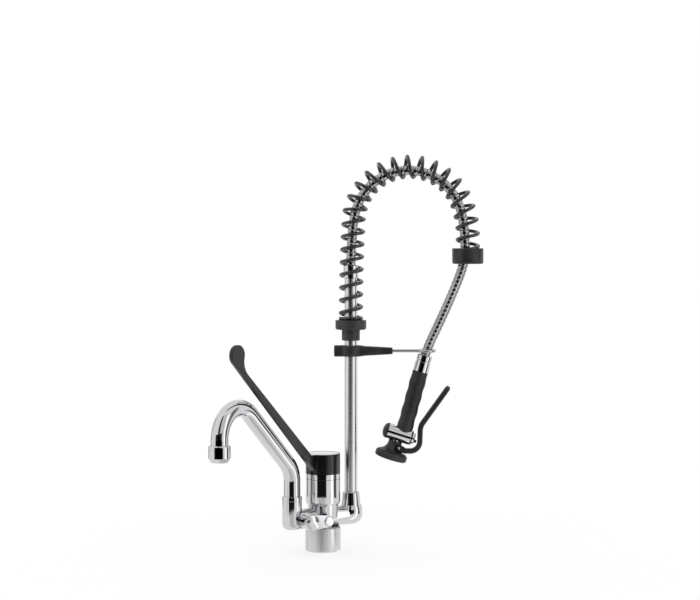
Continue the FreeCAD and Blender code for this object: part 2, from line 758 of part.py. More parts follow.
def shutoff_knob():
    """Stubby quarter-turn handle: domed hub, short arm and a round end that stands proud."""
    hub = turned([
        (0, KNOB_BACK),
        (KNOB_R - 1.0, KNOB_BACK),
        (KNOB_R, KNOB_BACK + 1.0),
        (KNOB_R, KNOB_FACE - 1.6),
        (KNOB_R - 0.5, KNOB_FACE - 0.5, KNOB_R - 1.8, KNOB_FACE),
        dome(KNOB_R - 1.8, KNOB_FACE, KNOB_CROWN),
    ])
    slope = math.asin((KNOB_R - KNOB_END_R) / KNOB_REACH)
    sine, cosine = math.sin(slope), math.cos(slope)
    arm = Part.Face(outline([
        (KNOB_R * sine, -KNOB_R * cosine),
        (KNOB_REACH + KNOB_END_R * sine, -KNOB_END_R * cosine),
        (KNOB_REACH + KNOB_END_R, 0, KNOB_REACH + KNOB_END_R * sine, KNOB_END_R * cosine),
        (KNOB_R * sine, KNOB_R * cosine),
    ], lambda a, b: V(a, b, KNOB_ARM_BACK)))
    arm = arm.extrude(V(0, 0, KNOB_ARM_FACE - KNOB_ARM_BACK))
    end = moved(turned([
        (0, KNOB_ARM_BACK),
        (KNOB_END_R, KNOB_ARM_BACK),
        (KNOB_END_R, KNOB_END_FACE - 2.5),
        (KNOB_END_R - 0.7, KNOB_END_FACE - 0.7, KNOB_END_R - 2.5, KNOB_END_FACE),
        (0, KNOB_END_FACE),
    ]), KNOB_REACH)
    knob = hub.fuse([arm, end]).removeSplitter()
    knob = knob.cut(rod(SPINDLE_R + SLIP, KNOB_BACK - 1, KNOB_BACK + KNOB_SOCKET + SLIP))
    knob = facing_front(knob, KNOB_X, ARM_Z)
    hole = rod(KNOB_SCREW_R + SLIP, ARM_Z - KNOB_R - 1, ARM_Z)
    return knob.cut(moved(hole, KNOB_X, -KNOB_BACK - KNOB_SCREW_DEPTH))


def knob_screw():
    low = ARM_Z - KNOB_R + 0.6
    screw = rod(KNOB_SCREW_R, low, ARM_Z - SPINDLE_R)
    screw = screw.cut(rod(1.0, low - 1, low + 2))
    return moved(screw, KNOB_X, -KNOB_BACK - KNOB_SCREW_DEPTH).cut(headwork_spindle())


def column_nut():
    """Cone nut that clamps the column in its port."""
    return moved(turned([
        (PORT_SPIGOT_R + SLIP, PORT_TOP),
        (COLUMN_NUT_FOOT_R, PORT_TOP),
        (COLUMN_NUT_TOP_R, PORT_TOP + COLUMN_NUT_H - 0.8),
        (COLUMN_NUT_TOP_R - 0.8, PORT_TOP + COLUMN_NUT_H),
        (COLUMN_R + SLIP, PORT_TOP + COLUMN_NUT_H),
        (COLUMN_R + SLIP, PORT_SPIGOT_TOP + COLUMN_SEAL_T),
        (PORT_SPIGOT_R + SLIP, PORT_SPIGOT_TOP + COLUMN_SEAL_T),
    ]), COLUMN_X)


def column_seal():
    return moved(ring(COLUMN_R + SLIP, PORT_SPIGOT_R, PORT_SPIGOT_TOP,
                      PORT_SPIGOT_TOP + COLUMN_SEAL_T), COLUMN_X)


def column_tube():
    tube = ring(COLUMN_R - COLUMN_WALL, COLUMN_R, COLUMN_FOOT_Z, COLUMN_TOP_Z)
    return moved(tube, COLUMN_X)


def column_top_nut():
    return moved(turned([
        (COLUMN_R + SLIP, TOP_NUT_Z),
        (TOP_NUT_R - 0.8, TOP_NUT_Z),
        (TOP_NUT_R, TOP_NUT_Z + 0.8),
        (TOP_NUT_R, TOP_NUT_TOP - 1.2),
        (TOP_NUT_R - 1.2, TOP_NUT_TOP),
        (HOSE_R + GAP, TOP_NUT_TOP),
        (HOSE_R + GAP, TOP_NUT_LIP_Z),
        (COLUMN_R + SLIP, TOP_NUT_LIP_Z),
    ]), COLUMN_X)


def top_washer():
    washer = ring(HOSE_BORE_R, COLUMN_R - SLIP, COLUMN_TOP_Z, COLUMN_TOP_Z + TOP_WASHER_T)
    return moved(washer, COLUMN_X)


def lower_spring_cup():
    disc_z = LOWER_CUP_TOP - LOWER_CUP_H
    neck_z = disc_z - LOWER_NECK_H
    cup = turned(rounded([
        (COLUMN_R + SLIP, neck_z, 0),
        (LOWER_NECK_R, neck_z, 1.0),
        (LOWER_NECK_R, disc_z, 1.0),
        (CUP_R, disc_z, LOWER_CUP_CORNER),
        (CUP_R, LOWER_CUP_TOP, 0.8),
        (COLUMN_R + SLIP, LOWER_CUP_TOP, 0),
    ]))
    hole = Part.makeCylinder(GRUB_R + SLIP, LOWER_NECK_R, V(0, 0, neck_z + GRUB_RISE), V(0, 1, 0))
    return arch_placed(cup.cut(hole))


def cup_screw():
    neck_z = LOWER_CUP_TOP - LOWER_CUP_H - LOWER_NECK_H
    length = LOWER_NECK_R - COLUMN_R - 0.6
    start = V(0, COLUMN_R + SLIP, neck_z + GRUB_RISE)
    return arch_placed(Part.makeCylinder(GRUB_R, length, start, V(0, 1, 0)))


class Centreline:
    """Planar path of clockwise arcs and a straight end, measured along its length."""

    def __init__(self, start, arcs, tail):
        self.pieces = []
        position = V(start[0], 0, start[1])
        angle = math.pi / 2
        done = 0.0
        for radius, turn in arcs:
            self.pieces.append((done, position, angle, radius))
            centre = position + self.right(angle) * radius
            angle -= math.radians(turn)
            position = centre - self.right(angle) * radius
            done += radius * math.radians(turn)
        self.pieces.append((done, position, angle, None))
        self.length = done + tail

    @staticmethod
    def right(angle):
        return V(math.sin(angle), 0, -math.cos(angle))

    def at(self, distance):
        """Place, heading and outward side of the path at a distance along it."""
        started = [piece for piece in self.pieces if piece[0] <= max(distance, 0)]
        done, position, angle, radius = started[-1]
        step = distance - done
        if radius is None:
            position = position + V(math.cos(angle), 0, math.sin(angle)) * step
        else:
            centre = position + self.right(angle) * radius
            angle -= step / radius
            position = centre - self.right(angle) * radius
        heading = V(math.cos(angle), 0, math.sin(angle))
        return position, heading, self.right(angle) * -1


def spring_centreline():
    """From half a wire above the lower cup to the upper cup's floor."""
    arcs = [(LEG_R, LEG_TURN), (CROWN_R, CROWN_TURN), (SHOULDER_R, SHOULDER_TURN)]
    return Centreline((0, LOWER_CUP_TOP + WIRE_R + GAP / 2), arcs, RIGHT_LEG_L)


def coil_distance(path, turn):
    """Way along the centreline after so many turns, the two end coils lying flatter."""
    pitch = (path.length - WIRE_R - FIRST_COIL - LAST_COIL) / COILS
    if turn < -0.5:
        return 0.4 * (turn + 1.0)
    if turn < 0:
        share = 2 * turn + 1
        return 0.2 + (FIRST_COIL - 0.2) * share * (0.55 + 0.45 * share)
    if turn <= COILS:
        return FIRST_COIL + pitch * turn
    share = (turn - COILS) / SPRING_CLOSING
    rise = LAST_COIL - GAP / 2
    return path.length - WIRE_R - LAST_COIL + rise * share * (2 - share)


def coil_point(path, turn):
    """Point of the wire's axis: right-handed, starting outermost on the left leg."""
    middle, heading, outward = path.at(coil_distance(path, turn))
    side = heading.cross(outward)
    angle = 2 * math.pi * turn
    return middle + outward * (SPRING_R * math.cos(angle)) + side * (SPRING_R * math.sin(angle))


def biarc(start, start_way, end, end_way):
    """Two arcs that leave start and reach end along the given ways."""
    gap = end - start
    both = start_way + end_way
    bend = 2 * (1 - start_way.dot(end_way))
    along_both = gap.dot(both)
    if abs(bend) < 1e-9:
        arm = gap.dot(gap) / (2 * along_both)
    else:
        arm = (math.sqrt(along_both ** 2 + bend * gap.dot(gap)) - along_both) / bend
    first, second = start + start_way * arm, end - end_way * arm
    middle = (first + second) * 0.5
    arcs = []
    for a, control, b in ((start, first, middle), (middle, second, end)):
        chord = (a + b) * 0.5
        cosine = a.distanceToPoint(b) / (2 * arm)
        via = chord + (control - chord) * (cosine / (1 + cosine))
        arcs.append(Part.Arc(a, via, b).toShape())
    return arcs


def arch_spring():
    path = spring_centreline()
    first, last = -1.0, COILS + SPRING_CLOSING
    halves = int(round((last - first) * 2))
    step = (last - first) / halves
    edges = []
    for i in range(halves):
        turns = (first + i * step, first + (i + 1) * step)
        ends = [coil_point(path, turn) for turn in turns]
        ways = [(coil_point(path, turn + 0.002) - coil_point(path, turn - 0.002)).normalize()
                for turn in turns]
        edges += biarc(ends[0], ways[0], ends[1], ways[1])
    wire = Part.Wire(edges)

    samples = [coil_point(path, first + (last - first) * i / 1200.0) for i in range(1201)]
    per_turn = 1200 / (last - first)
    nearest = 1e9
    for i in range(0, 1201, 3):
        for j in range(i + int(per_turn * 0.6), min(i + int(per_turn * 1.5), 1201)):
            nearest = min(nearest, samples[i].distanceToPoint(samples[j]))
    print("spring: %d turns, least gap to itself %.2f mm" % (round(last - first),
                                                            nearest - 2 * WIRE_R))
    return arch_placed(swept(WIRE_R, wire))


def hose_points():
    """Corners of the hose's route, from the column's top over the arch to the hand spray."""
    step = math.pi / HOSE_STEPS
    corner_r = HOSE_ARCH_R / math.cos(step / 2)
    points = [(0, FERRULE_Z)] + list(HOSE_LEG)
    for i in range(HOSE_STEPS):
        angle = math.pi - step * (i + 0.5)
        points.append((HOSE_CENTRE[0] + corner_r * math.cos(angle),
                       HOSE_CENTRE[1] + corner_r * math.sin(angle)))
    end = on_line(GRIP_FOOT, HANDLE_DIR, GRIP_L + NECK_L + GAP + HOSE_NUT_L - NUT_RECESS)
    return points + list(HOSE_FALL) + [on_line(end, HANDLE_DIR, 2 * HOSE_R), end]


def hose_route():
    """Straight runs joined by arcs, each as large as its two runs allow."""
    corners = hose_points()
    rounds = []
    for i, (u, z) in enumerate(corners):
        if i in (0, len(corners) - 1):
            rounds.append((u, z, 0))
            continue
        into = V(u - corners[i - 1][0], z - corners[i - 1][1], 0)
        out = V(corners[i + 1][0] - u, corners[i + 1][1] - z, 0)
        turn = into.getAngle(out)
        radius = 0.45 * min(into.Length, out.Length) / math.tan(turn / 2)
        rounds.append((u, z, radius))
    print("hose: arc radii", [round(corner[2]) for corner in rounds[1:-1]])
    return outline(rounded(rounds, closed=False), upright, closed=False)


def stations(path, distances):
    """Points and headings of a wire at distances along it."""
    edges = path.OrderedEdges
    found = []
    index = 0
    done = 0.0
    for distance in distances:
        while index < len(edges) - 1 and distance > done + edges[index].Length:
            done += edges[index].Length
            index += 1
        edge = edges[index]
        parameter = edge.getParameterByLength(min(max(distance - done, 0), edge.Length))
        found.append((edge.valueAt(parameter), edge.tangentAt(parameter)))
    return found


def hose():
    """Ribbed metal hose: each rib is four circles, and both ends run plain."""
    path = hose_route()
    plain = 2 * HOSE_R
    pitch = (path.Length - 2 * plain) / RIBS
    marks = [(0.0, HOSE_R), (plain - 0.4 * pitch, HOSE_R)]
    for i in range(RIBS):
        low = plain + i * pitch
        marks += [(low, HOSE_VALLEY_R), (low + 0.2 * pitch, HOSE_R),
                  (low + 0.62 * pitch, HOSE_R), (low + 0.8 * pitch, HOSE_VALLEY_R)]
    marks += [(path.Length - plain + 0.2 * pitch, HOSE_R), (path.Length, HOSE_R)]
    wires = []
    for (centre, heading), (_, radius) in zip(stations(path, [m[0] for m in marks]), marks):
        circle = Part.Circle(centre, heading, radius)
        circle.XAxis = V(0, 1, 0)
        wires.append(Part.Wire(circle.toShape()))
    tube = Part.makeLoft(wires, True, True)
    bore = swept(HOSE_BORE_R, path)
    print("hose: %.0f mm long, %d ribs, least wall %.1f mm" % (path.Length, RIBS,
                                                             HOSE_VALLEY_R - HOSE_BORE_R))
    return arch_placed(tube.cut(bore))


def hose_ferrule():
    """Crimped collar on the hose's upper end, trapped in the column's top nut."""
    return moved(ring(HOSE_R + SLIP, FERRULE_R, FERRULE_Z, FERRULE_Z + FERRULE_H), COLUMN_X)


def upper_spring_cup():
    """Cup at the end of the spring's centreline, open upwards round the last coil."""
    end = spring_centreline().at(spring_centreline().length)[0]
    floor_z = end.z
    bottom = floor_z - RIGHT_CUP_FLOOR_T
    pocket_r = SPRING_R + WIRE_R + 2 * SLIP
    cup = turned(rounded([
        (RIGHT_CUP_HOLE_R, bottom, 0),
        (CUP_R, bottom, RIGHT_CUP_CORNER),
        (CUP_R, bottom + RIGHT_CUP_H, 1.0),
        (pocket_r, bottom + RIGHT_CUP_H, 0),
        (pocket_r, floor_z, 0),
        (RIGHT_CUP_HOLE_R, floor_z, 0),
    ]))
    return arch_placed(moved(cup, end.x))


def arm_clamp():
    """Split collar round the column, drawn out into a tapering arm."""
    half = CLAMP_H / 2
    tip = CLAMP_TIP_H / 2
    side = outline(rounded([
        (-CLAMP_BACK, ARM_MID_Z - half, 1.5),
        (CLAMP_TAPER_U, ARM_MID_Z - half, 20),
        (CLAMP_TIP_U, ARM_MID_Z - tip, 1.0),
        (CLAMP_TIP_U, ARM_MID_Z + tip, 1.0),
        (CLAMP_TAPER_U, ARM_MID_Z + half, 20),
        (-CLAMP_BACK, ARM_MID_Z + half, 1.5),
    ]), lambda a, b: V(a, -30, b))
    side = Part.Face(side).extrude(V(0, 60, 0))
    plan = Part.Face(outline(rounded([
        (-CLAMP_BACK, -CLAMP_EAR_W / 2, 1.5),
        (-CLAMP_R - 1, -CLAMP_EAR_W / 2, 4),
        (-CLAMP_R * 0.45, -CLAMP_R, 10),
        (CLAMP_R * 0.7, -CLAMP_R, 14),
        (CLAMP_TIP_U, -CLAMP_TIP_H / 2, 2.0),
        (CLAMP_TIP_U, CLAMP_TIP_H / 2, 2.0),
        (CLAMP_R * 0.7, CLAMP_R, 14),
        (-CLAMP_R * 0.45, CLAMP_R, 10),
        (-CLAMP_R - 1, CLAMP_EAR_W / 2, 4),
        (-CLAMP_BACK, CLAMP_EAR_W / 2, 1.5),
    ]), flat))
    clamp = side.common(plan.extrude(V(0, 0, COLUMN_TOP_Z)))
    low, high = ARM_MID_Z - half - 1, ARM_MID_Z + half + 1
    clamp = clamp.cut(rod(COLUMN_R + RUN, low, high))
    clamp = clamp.cut(Part.makeBox(CLAMP_BACK, CLAMP_SLIT, CLAMP_H + 2,
                                   V(-CLAMP_BACK - 1, -CLAMP_SLIT / 2, low)))
    clamp = clamp.cut(Part.makeCylinder(CLAMP_SCREW_R + SLIP, 60,
                                        V(-CLAMP_SCREW_BACK, -30, ARM_MID_Z), V(0, 1, 0)))
    for side in (-1, 1):
        seat = V(-CLAMP_SCREW_BACK, side * CLAMP_EAR_W / 2, ARM_MID_Z)
        clamp = clamp.cut(Part.makeCylinder(CLAMP_SCREW_HEAD_R + GAP, 20, seat, V(0, side, 0)))
    clamp = clamp.cut(Part.makeCylinder(ROD_R + SLIP, ROD_SOCKET_L + 1,
                                        V(CLAMP_TIP_U - ROD_SOCKET_L, 0, ARM_MID_Z), V(1, 0, 0)))
    return arch_placed(clamp)


def arm_clamp_screw():
    """Cap screw through the two ears, with its nut on the far side."""
    half = CLAMP_EAR_W / 2
    shank = Part.makeCylinder(CLAMP_SCREW_R, CLAMP_EAR_W + 3.5,
                              V(-CLAMP_SCREW_BACK, -half, ARM_MID_Z), V(0, 1, 0))
    head = Part.makeCylinder(CLAMP_SCREW_HEAD_R, CLAMP_SCREW_HEAD_H,
                             V(-CLAMP_SCREW_BACK, -half - CLAMP_SCREW_HEAD_H, ARM_MID_Z), V(0, 1, 0))
    nut = Part.makeCylinder(CLAMP_SCREW_HEAD_R, CLAMP_SCREW_HEAD_H,
                            V(-CLAMP_SCREW_BACK, half, ARM_MID_Z), V(0, 1, 0))
    socket = Part.makeCylinder(2.0, 2.0,
                               V(-CLAMP_SCREW_BACK, -half - CLAMP_SCREW_HEAD_H, ARM_MID_Z), V(0, 1, 0))
    screw = shank.fuse([head, nut]).removeSplitter().cut(socket)
    return arch_placed(screw)


def arm_hook():
    """Rod out of the arm with the ring that the hose hangs through."""
    ring_wire = Part.makeTorus(RING_R, ROD_R, V(RING_U, 0, ARM_MID_Z), V(0, 0, 1))
    start = CLAMP_TIP_U - ROD_SOCKET_L
    straight = Part.makeCylinder(ROD_R, RING_U - RING_R - start,
                                 V(start, 0, ARM_MID_Z), V(1, 0, 0))
    return arch_placed(straight.fuse(ring_wire).removeSplitter())


def on_handle(shape, distance=0.0):
    foot = on_line(GRIP_FOOT, HANDLE_DIR, distance)
    return along(shape, foot, HANDLE_DIR)


def on_valve(shape):
    return along(shape, VALVE_END, VALVE_DIR)


def on_spray(shape):
    return along(shape, SPRAY_FACE, SPRAY_DIR)


def hose_nut():
    """Nut at the hose's lower end, with the plain tube that the hand spray swivels on."""
    low = GRIP_L + NECK_L + GAP
    top = low + HOSE_NUT_L
    nut = turned([
        (HOSE_BORE_R, low - SWIVEL_L),
        (SWIVEL_R, low - SWIVEL_L),
        (SWIVEL_R, low),
        (HOSE_NUT_R, low),
        (HOSE_NUT_R, top - 1.0),
        (HOSE_NUT_R - 1.0, top),
        (HOSE_R + 2 * SLIP, top),
        (HOSE_R + 2 * SLIP, top - NUT_RECESS - SLIP),
        (HOSE_BORE_R, top - NUT_RECESS - SLIP),
    ])
    return arch_placed(on_handle(nut))


def handle_neck():
    """Chrome neck under the hose nut, screwed to the tube inside the grip."""
    top = GRIP_L + NECK_L
    neck = turned([
        (HOSE_BORE_R, GRIP_L),
        (NECK_R, GRIP_L),
        (NECK_R, top - NECK_RIM_L),
        (NECK_R - 0.5, top - NECK_RIM_L),
        (NECK_R - 0.5, top),
        (SWIVEL_R + RUN, top),
        (SWIVEL_R + RUN, top - SWIVEL_L - GAP),
        (HOSE_BORE_R, top - SWIVEL_L - GAP),
    ])
    return arch_placed(on_handle(neck))


def handle_tube():
    """Water tube from the neck down into the valve body."""
    tube = on_handle(ring(HOSE_BORE_R, GRIP_BORE_R - SLIP, -5.5, GRIP_L))
    return arch_placed(tube.cut(on_valve(rod(CHAMBER_R + SLIP, CHAMBER_END, VALVE_L))))


def spray_grip():
    """Rubber grip with shallow finger waves and a rounded foot."""
    points = [
        (GRIP_BORE_R, 0),
        (GRIP_R * 0.62, 0),
        (GRIP_R - 1.0, 1.9, GRIP_R - GRIP_WAVE, 6.5),
    ]
    wave = (GRIP_L - 8.0) / (2 * GRIP_WAVES)
    for i in range(GRIP_WAVES):
        low = 6.5 + 2 * i * wave
        points.append((GRIP_R + GRIP_WAVE * 0.6, low + wave * 0.5, GRIP_R + GRIP_WAVE * 0.4, low + wave))
        points.append((GRIP_R - GRIP_WAVE * 0.7, low + wave * 1.5, GRIP_R - GRIP_WAVE, low + 2 * wave))
    points += [(GRIP_R - GRIP_WAVE, GRIP_L), (GRIP_BORE_R, GRIP_L)]
    grip = turned(points)
    return arch_placed(on_handle(grip).cut(on_valve(rod(VALVE_R + SLIP, -12, VALVE_L + 12))))


def valve_body():
    """Cross tube of the hand spray: inlet from the grip, outlet to the spray head."""
    body = on_valve(rod(VALVE_R, 0, VALVE_L))
    stub = on_spray(rod(OUTLET_STUB_R, BELL_NECK_TOP - OUTLET_STUB_L, BELL_NECK_TOP))
    body = body.fuse(stub).removeSplitter()
    body = body.cut(on_valve(rod(CHAMBER_R, CHAMBER_END, VALVE_L + 1)))
    body = body.cut(on_handle(rod(GRIP_BORE_R, -6.5, 10)))
    return arch_placed(body.cut(on_spray(rod(JET_R, 20, BELL_NECK_TOP + 2))))


def valve_end_cap():
    cap = turned([
        (0, 0),
        (VALVE_R, 0),
        (VALVE_R, 1.6),
        dome(VALVE_R, 1.6, CAP_DOME_L - 1.6),
    ])
    cap.rotate(V(0, 0, 0), V(1, 0, 0), 180)
    return arch_placed(on_valve(cap))


def gland_ring():
    return arch_placed(on_valve(ring(CHAMBER_R, GLAND_RING_R, VALVE_L, VALVE_L + GLAND_RING_T)))


def gland_nut():
    low = VALVE_L + GLAND_RING_T
    nut = turned([
        (VALVE_STEM_R + RUN, VALVE_L - GLAND_SPIGOT_L),
        (CHAMBER_R - SLIP, VALVE_L - GLAND_SPIGOT_L),
        (CHAMBER_R - SLIP, low),
        (GLAND_NUT_R, low),
        (GLAND_NUT_R, low + GLAND_NUT_L - 1.0),
        (GLAND_NUT_R - 1.0, low + GLAND_NUT_L),
        (VALVE_STEM_R + RUN, low + GLAND_NUT_L),
    ])
    return arch_placed(on_valve(nut))


def return_spring():
    return arch_placed(on_valve(ring(RETURN_SPRING_BORE_R, RETURN_SPRING_R, CHAMBER_END,
                                     VALVE_STEM_ROOT + STEM_COLLAR_SET - 3)))


def valve_stem():
    """Sliding stem: the trigger pushes its tip, and its collar leaves the seat."""
    collar = VALVE_STEM_ROOT + STEM_COLLAR_SET
    tip = VALVE_STEM_ROOT + VALVE_STEM_L - 1.2
    stem = turned([
        (0, VALVE_STEM_ROOT),
        (VALVE_STEM_R, VALVE_STEM_ROOT),
        (VALVE_STEM_R, collar),
        (STEM_COLLAR_R, collar),
        (STEM_COLLAR_R, collar + STEM_COLLAR_T),
        (VALVE_STEM_R, collar + STEM_COLLAR_T),
        (VALVE_STEM_R, tip),
        dome(VALVE_STEM_R, tip, 1.2),
    ])
    return arch_placed(on_valve(stem))


def spray_head():
    """Bell under the valve, with the lug that carries the trigger's pin."""
    bell = turned([
        (0, FACE_INSET + FACE_T),
        (BUMPER_R - BUMPER_WALL - SLIP, FACE_INSET + FACE_T),
        (BUMPER_R - BUMPER_WALL - SLIP, BUMPER_H),
        (BELL_R, BUMPER_H),
        (BELL_R, BUMPER_H + 1.2),
        (12.5, BUMPER_H + 4.0, BELL_NECK_R, BUMPER_H + 11.0),
        (BELL_NECK_R, BELL_NECK_TOP),
        (0, BELL_NECK_TOP),
    ])
    cavity = turned([
        (0, FACE_INSET + FACE_T - 1),
        (BUMPER_R - BUMPER_WALL - 2.0, FACE_INSET + FACE_T - 1),
        (BUMPER_R - BUMPER_WALL - 2.0, FACE_INSET + FACE_T + BELL_H),
        (0, FACE_INSET + FACE_T + BELL_H + 2),
    ])
    bell = on_spray(bell.cut(cavity))
    lug = Part.makeCylinder(LUG_R, 2 * LUG_HALF_W, V(PIVOT[0], -LUG_HALF_W, PIVOT[1]), V(0, 1, 0))
    bell = bell.fuse(lug).removeSplitter()
    bell = bell.cut(on_valve(rod(VALVE_R + SLIP, -12, VALVE_L + 12)))
    for side in (-1, 1):
        relief = Part.makeCylinder(LUG_R + 1.2, 20, V(PIVOT[0], side * (LUG_HALF_W + 10) - 10,
                                                      PIVOT[1]), V(0, 1, 0))
        bell = bell.cut(relief)
    bell = bell.cut(on_spray(rod(OUTLET_STUB_R + SLIP, BELL_NECK_TOP - OUTLET_STUB_L - SLIP, 50)))
    bell = bell.cut(on_spray(rod(JET_R, 3, 50)))
    bell = bell.cut(Part.makeCylinder(PIN_R + SLIP, 60, V(PIVOT[0], -30, PIVOT[1]), V(0, 1, 0)))
    return arch_placed(bell)


def spray_bumper():
    """Rubber ring round the spray face."""
    inner = BUMPER_R - BUMPER_WALL
    return arch_placed(on_spray(turned(rounded([
        (inner, 0, 1.0),
        (BUMPER_R, 0, 4.0),
        (BUMPER_R, BUMPER_H, 3.0),
        (inner, BUMPER_H, 0),
    ]))))


def spray_face():
    inner = BUMPER_R - BUMPER_WALL - SLIP
    plate = rod(inner, FACE_INSET, FACE_INSET + FACE_T)
    for count, radius in ((6, 4.5), (12, 9.5), (16, 14.5)):
        for i in range(count):
            angle = 2 * math.pi * i / count
            hole = rod(FACE_HOLE_R, 0, FACE_INSET + FACE_T + 1)
            plate = plate.cut(moved(hole, radius * math.cos(angle), radius * math.sin(angle)))
    return arch_placed(on_spray(plate))


def pivot_pin():
    half = TRIGGER_W / 2 + 0.2
    return arch_placed(Part.makeCylinder(PIN_R, 2 * half, V(PIVOT[0], -half, PIVOT[1]),
                                         V(0, 1, 0)))


def trigger():
    """Bent lever: fork at the pin, round under the valve, up past it and out."""
    corners = [(PIVOT[0], PIVOT[1], 0)]
    for i, (u, z) in enumerate(TRIGGER_LINE):
        corners.append((u, z, TRIGGER_BENDS[i] if i < len(TRIGGER_BENDS) else 0))
    path = outline(rounded(corners, closed=False), upright, closed=False)
    edge = path.OrderedEdges[0]
    across = V(0, 1, 0)
    up = edge.tangentAt(edge.FirstParameter).cross(across)
    start = edge.valueAt(edge.FirstParameter)
    section = [start + across * (TRIGGER_W / 2 * a) + up * (TRIGGER_T / 2 * b)
               for a, b in ((-1, -1), (1, -1), (1, 1), (-1, 1), (-1, -1))]
    bar = path.makePipeShell([Part.makePolygon(section)], True, False)
    eye = Part.makeCylinder(LUG_R - 0.6, TRIGGER_W, V(PIVOT[0], -TRIGGER_W / 2, PIVOT[1]),
                            across)
    bar = bar.fuse(eye).removeSplitter()
    tip = V(TRIGGER_LINE[-1][0], 0, TRIGGER_LINE[-1][1])
    tip_edges = [edge for edge in bar.Edges
                 if abs(edge.CenterOfMass.distanceToPoint(tip) - TRIGGER_W / 2) < 0.5
                 and edge.Length < TRIGGER_T + 0.1]
    bar = bar.makeFillet(TRIGGER_W * 0.4, tip_edges)
    slot = Part.makeCylinder(LUG_R + 1.2, 2 * (LUG_HALF_W + GAP),
                             V(PIVOT[0], -LUG_HALF_W - GAP, PIVOT[1]), across)
    hole = Part.makeCylinder(PIN_R + RUN, 60, V(PIVOT[0], -30, PIVOT[1]), across)
    return arch_placed(bar.cut(slot).cut(hole))


NODES = [
    base_sleeve,
    base_gasket,
    foot_block,
    mixer_body,
    ceramic_cartridge,
    cartridge_nut,
    cover_ring,
    cartridge_stem,
    mixer_lever,
    lever_screw,
    lever_cap,
    spout_tube,
    spout_spigot,
    spout_o_rings,
    spout_nut,
    aerator_housing,
    aerator_insert,
    aerator_washer,
    valve_headwork,
    headwork_spindle,
    shutoff_knob,
    knob_screw,
    column_nut,
    column_seal,
    column_tube,
    column_top_nut,
    top_washer,
    lower_spring_cup,
    cup_screw,
    arch_spring,
    hose,
    hose_ferrule,
    upper_spring_cup,
    arm_clamp,
    arm_clamp_screw,
    arm_hook,
    hose_nut,
    handle_neck,
    handle_tube,
    spray_grip,
    valve_body,
    valve_end_cap,
    gland_ring,
    gland_nut,
    return_spring,
    valve_stem,
    spray_head,
    spray_bumper,
    spray_face,
    pivot_pin,
    trigger,
]

SPOUT_PIECES = {"spout_tube", "spout_spigot", "spout_o_rings", "spout_nut"}
NOZZLE_PIECES = {"aerator_housing", "aerator_insert", "aerator_washer"}

os.makedirs("parts", exist_ok=True)
for make in NODES:
    shape = make()
    name = make.__name__
    if name in SPOUT_PIECES:
        shape = swung(shape, SWIVEL_AZIMUTH, SPOUT_X)
    if name in NOZZLE_PIECES:
        shape = swung(moved(shape, SPOUT_REACH), SWIVEL_AZIMUTH, SPOUT_X)
    if name == "mixer_lever":
        shape = swung(shape, SWIVEL_AZIMUTH)
    solids = shape.Solids
    valid = shape.isValid()
    print("%-20s solids %d valid %s volume %.1f" % (name, len(solids), valid, shape.Volume))
    if len(solids) == 1:
        shape = solids[0]
    shape.exportStep("parts/%s.step" % name)
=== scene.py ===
import math

import bmesh
import bpy
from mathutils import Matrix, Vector


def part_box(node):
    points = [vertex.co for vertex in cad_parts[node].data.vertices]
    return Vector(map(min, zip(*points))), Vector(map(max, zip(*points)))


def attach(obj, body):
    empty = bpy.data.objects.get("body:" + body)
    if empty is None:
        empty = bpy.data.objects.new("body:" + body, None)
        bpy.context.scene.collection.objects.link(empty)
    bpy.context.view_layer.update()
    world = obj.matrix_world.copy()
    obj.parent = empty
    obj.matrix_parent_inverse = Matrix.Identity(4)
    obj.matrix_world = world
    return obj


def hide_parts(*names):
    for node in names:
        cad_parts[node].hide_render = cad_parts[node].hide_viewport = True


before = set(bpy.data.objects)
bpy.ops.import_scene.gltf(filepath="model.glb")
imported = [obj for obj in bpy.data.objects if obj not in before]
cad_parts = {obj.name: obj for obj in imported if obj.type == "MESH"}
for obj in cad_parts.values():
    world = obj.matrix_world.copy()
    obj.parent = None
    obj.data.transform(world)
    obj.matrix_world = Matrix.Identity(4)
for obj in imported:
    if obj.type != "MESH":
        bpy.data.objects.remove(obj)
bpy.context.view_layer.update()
scene = bpy.context.scene

# Directions of the photograph's view: RIGHT runs to the right in it, NEAR towards the camera
VIEW_AZIMUTH = math.radians(-32.0)
RIGHT = Vector((math.cos(VIEW_AZIMUTH), math.sin(VIEW_AZIMUTH), 0))
NEAR = Vector((math.sin(VIEW_AZIMUTH), -math.cos(VIEW_AZIMUTH), 0))
UP = Vector((0, 0, 1))

# Camera: its place in metres, and its lens in pixels of the picture
CAMERA_RIGHT = 0.0418
CAMERA_NEAR = 2.541
CAMERA_Z = 0.462
PICTURE_W = 700
FOCAL_PX = 1650
SHIFT_PX = -50
SENSOR_W = 36.0
CLIP_END = 50

# The arch's plane, as in the solids: (U, Z) in metres, U out from the column's axis
ARCH_AZIMUTH = math.radians(-32.0)
COLUMN_X = 0.0508
ARCH_OUT = Vector((math.cos(ARCH_AZIMUTH), math.sin(ARCH_AZIMUTH), 0))
ARCH_SIDE = Vector((-math.sin(ARCH_AZIMUTH), math.cos(ARCH_AZIMUTH), 0))

# Meshes
SHARP_ANGLE = math.radians(32)   # an edge that turns more than this stays crisp
TURNED_SIDES = 72
FINE_SIDES = 96
BAR_SIDES = 48
TINY = 1e-6

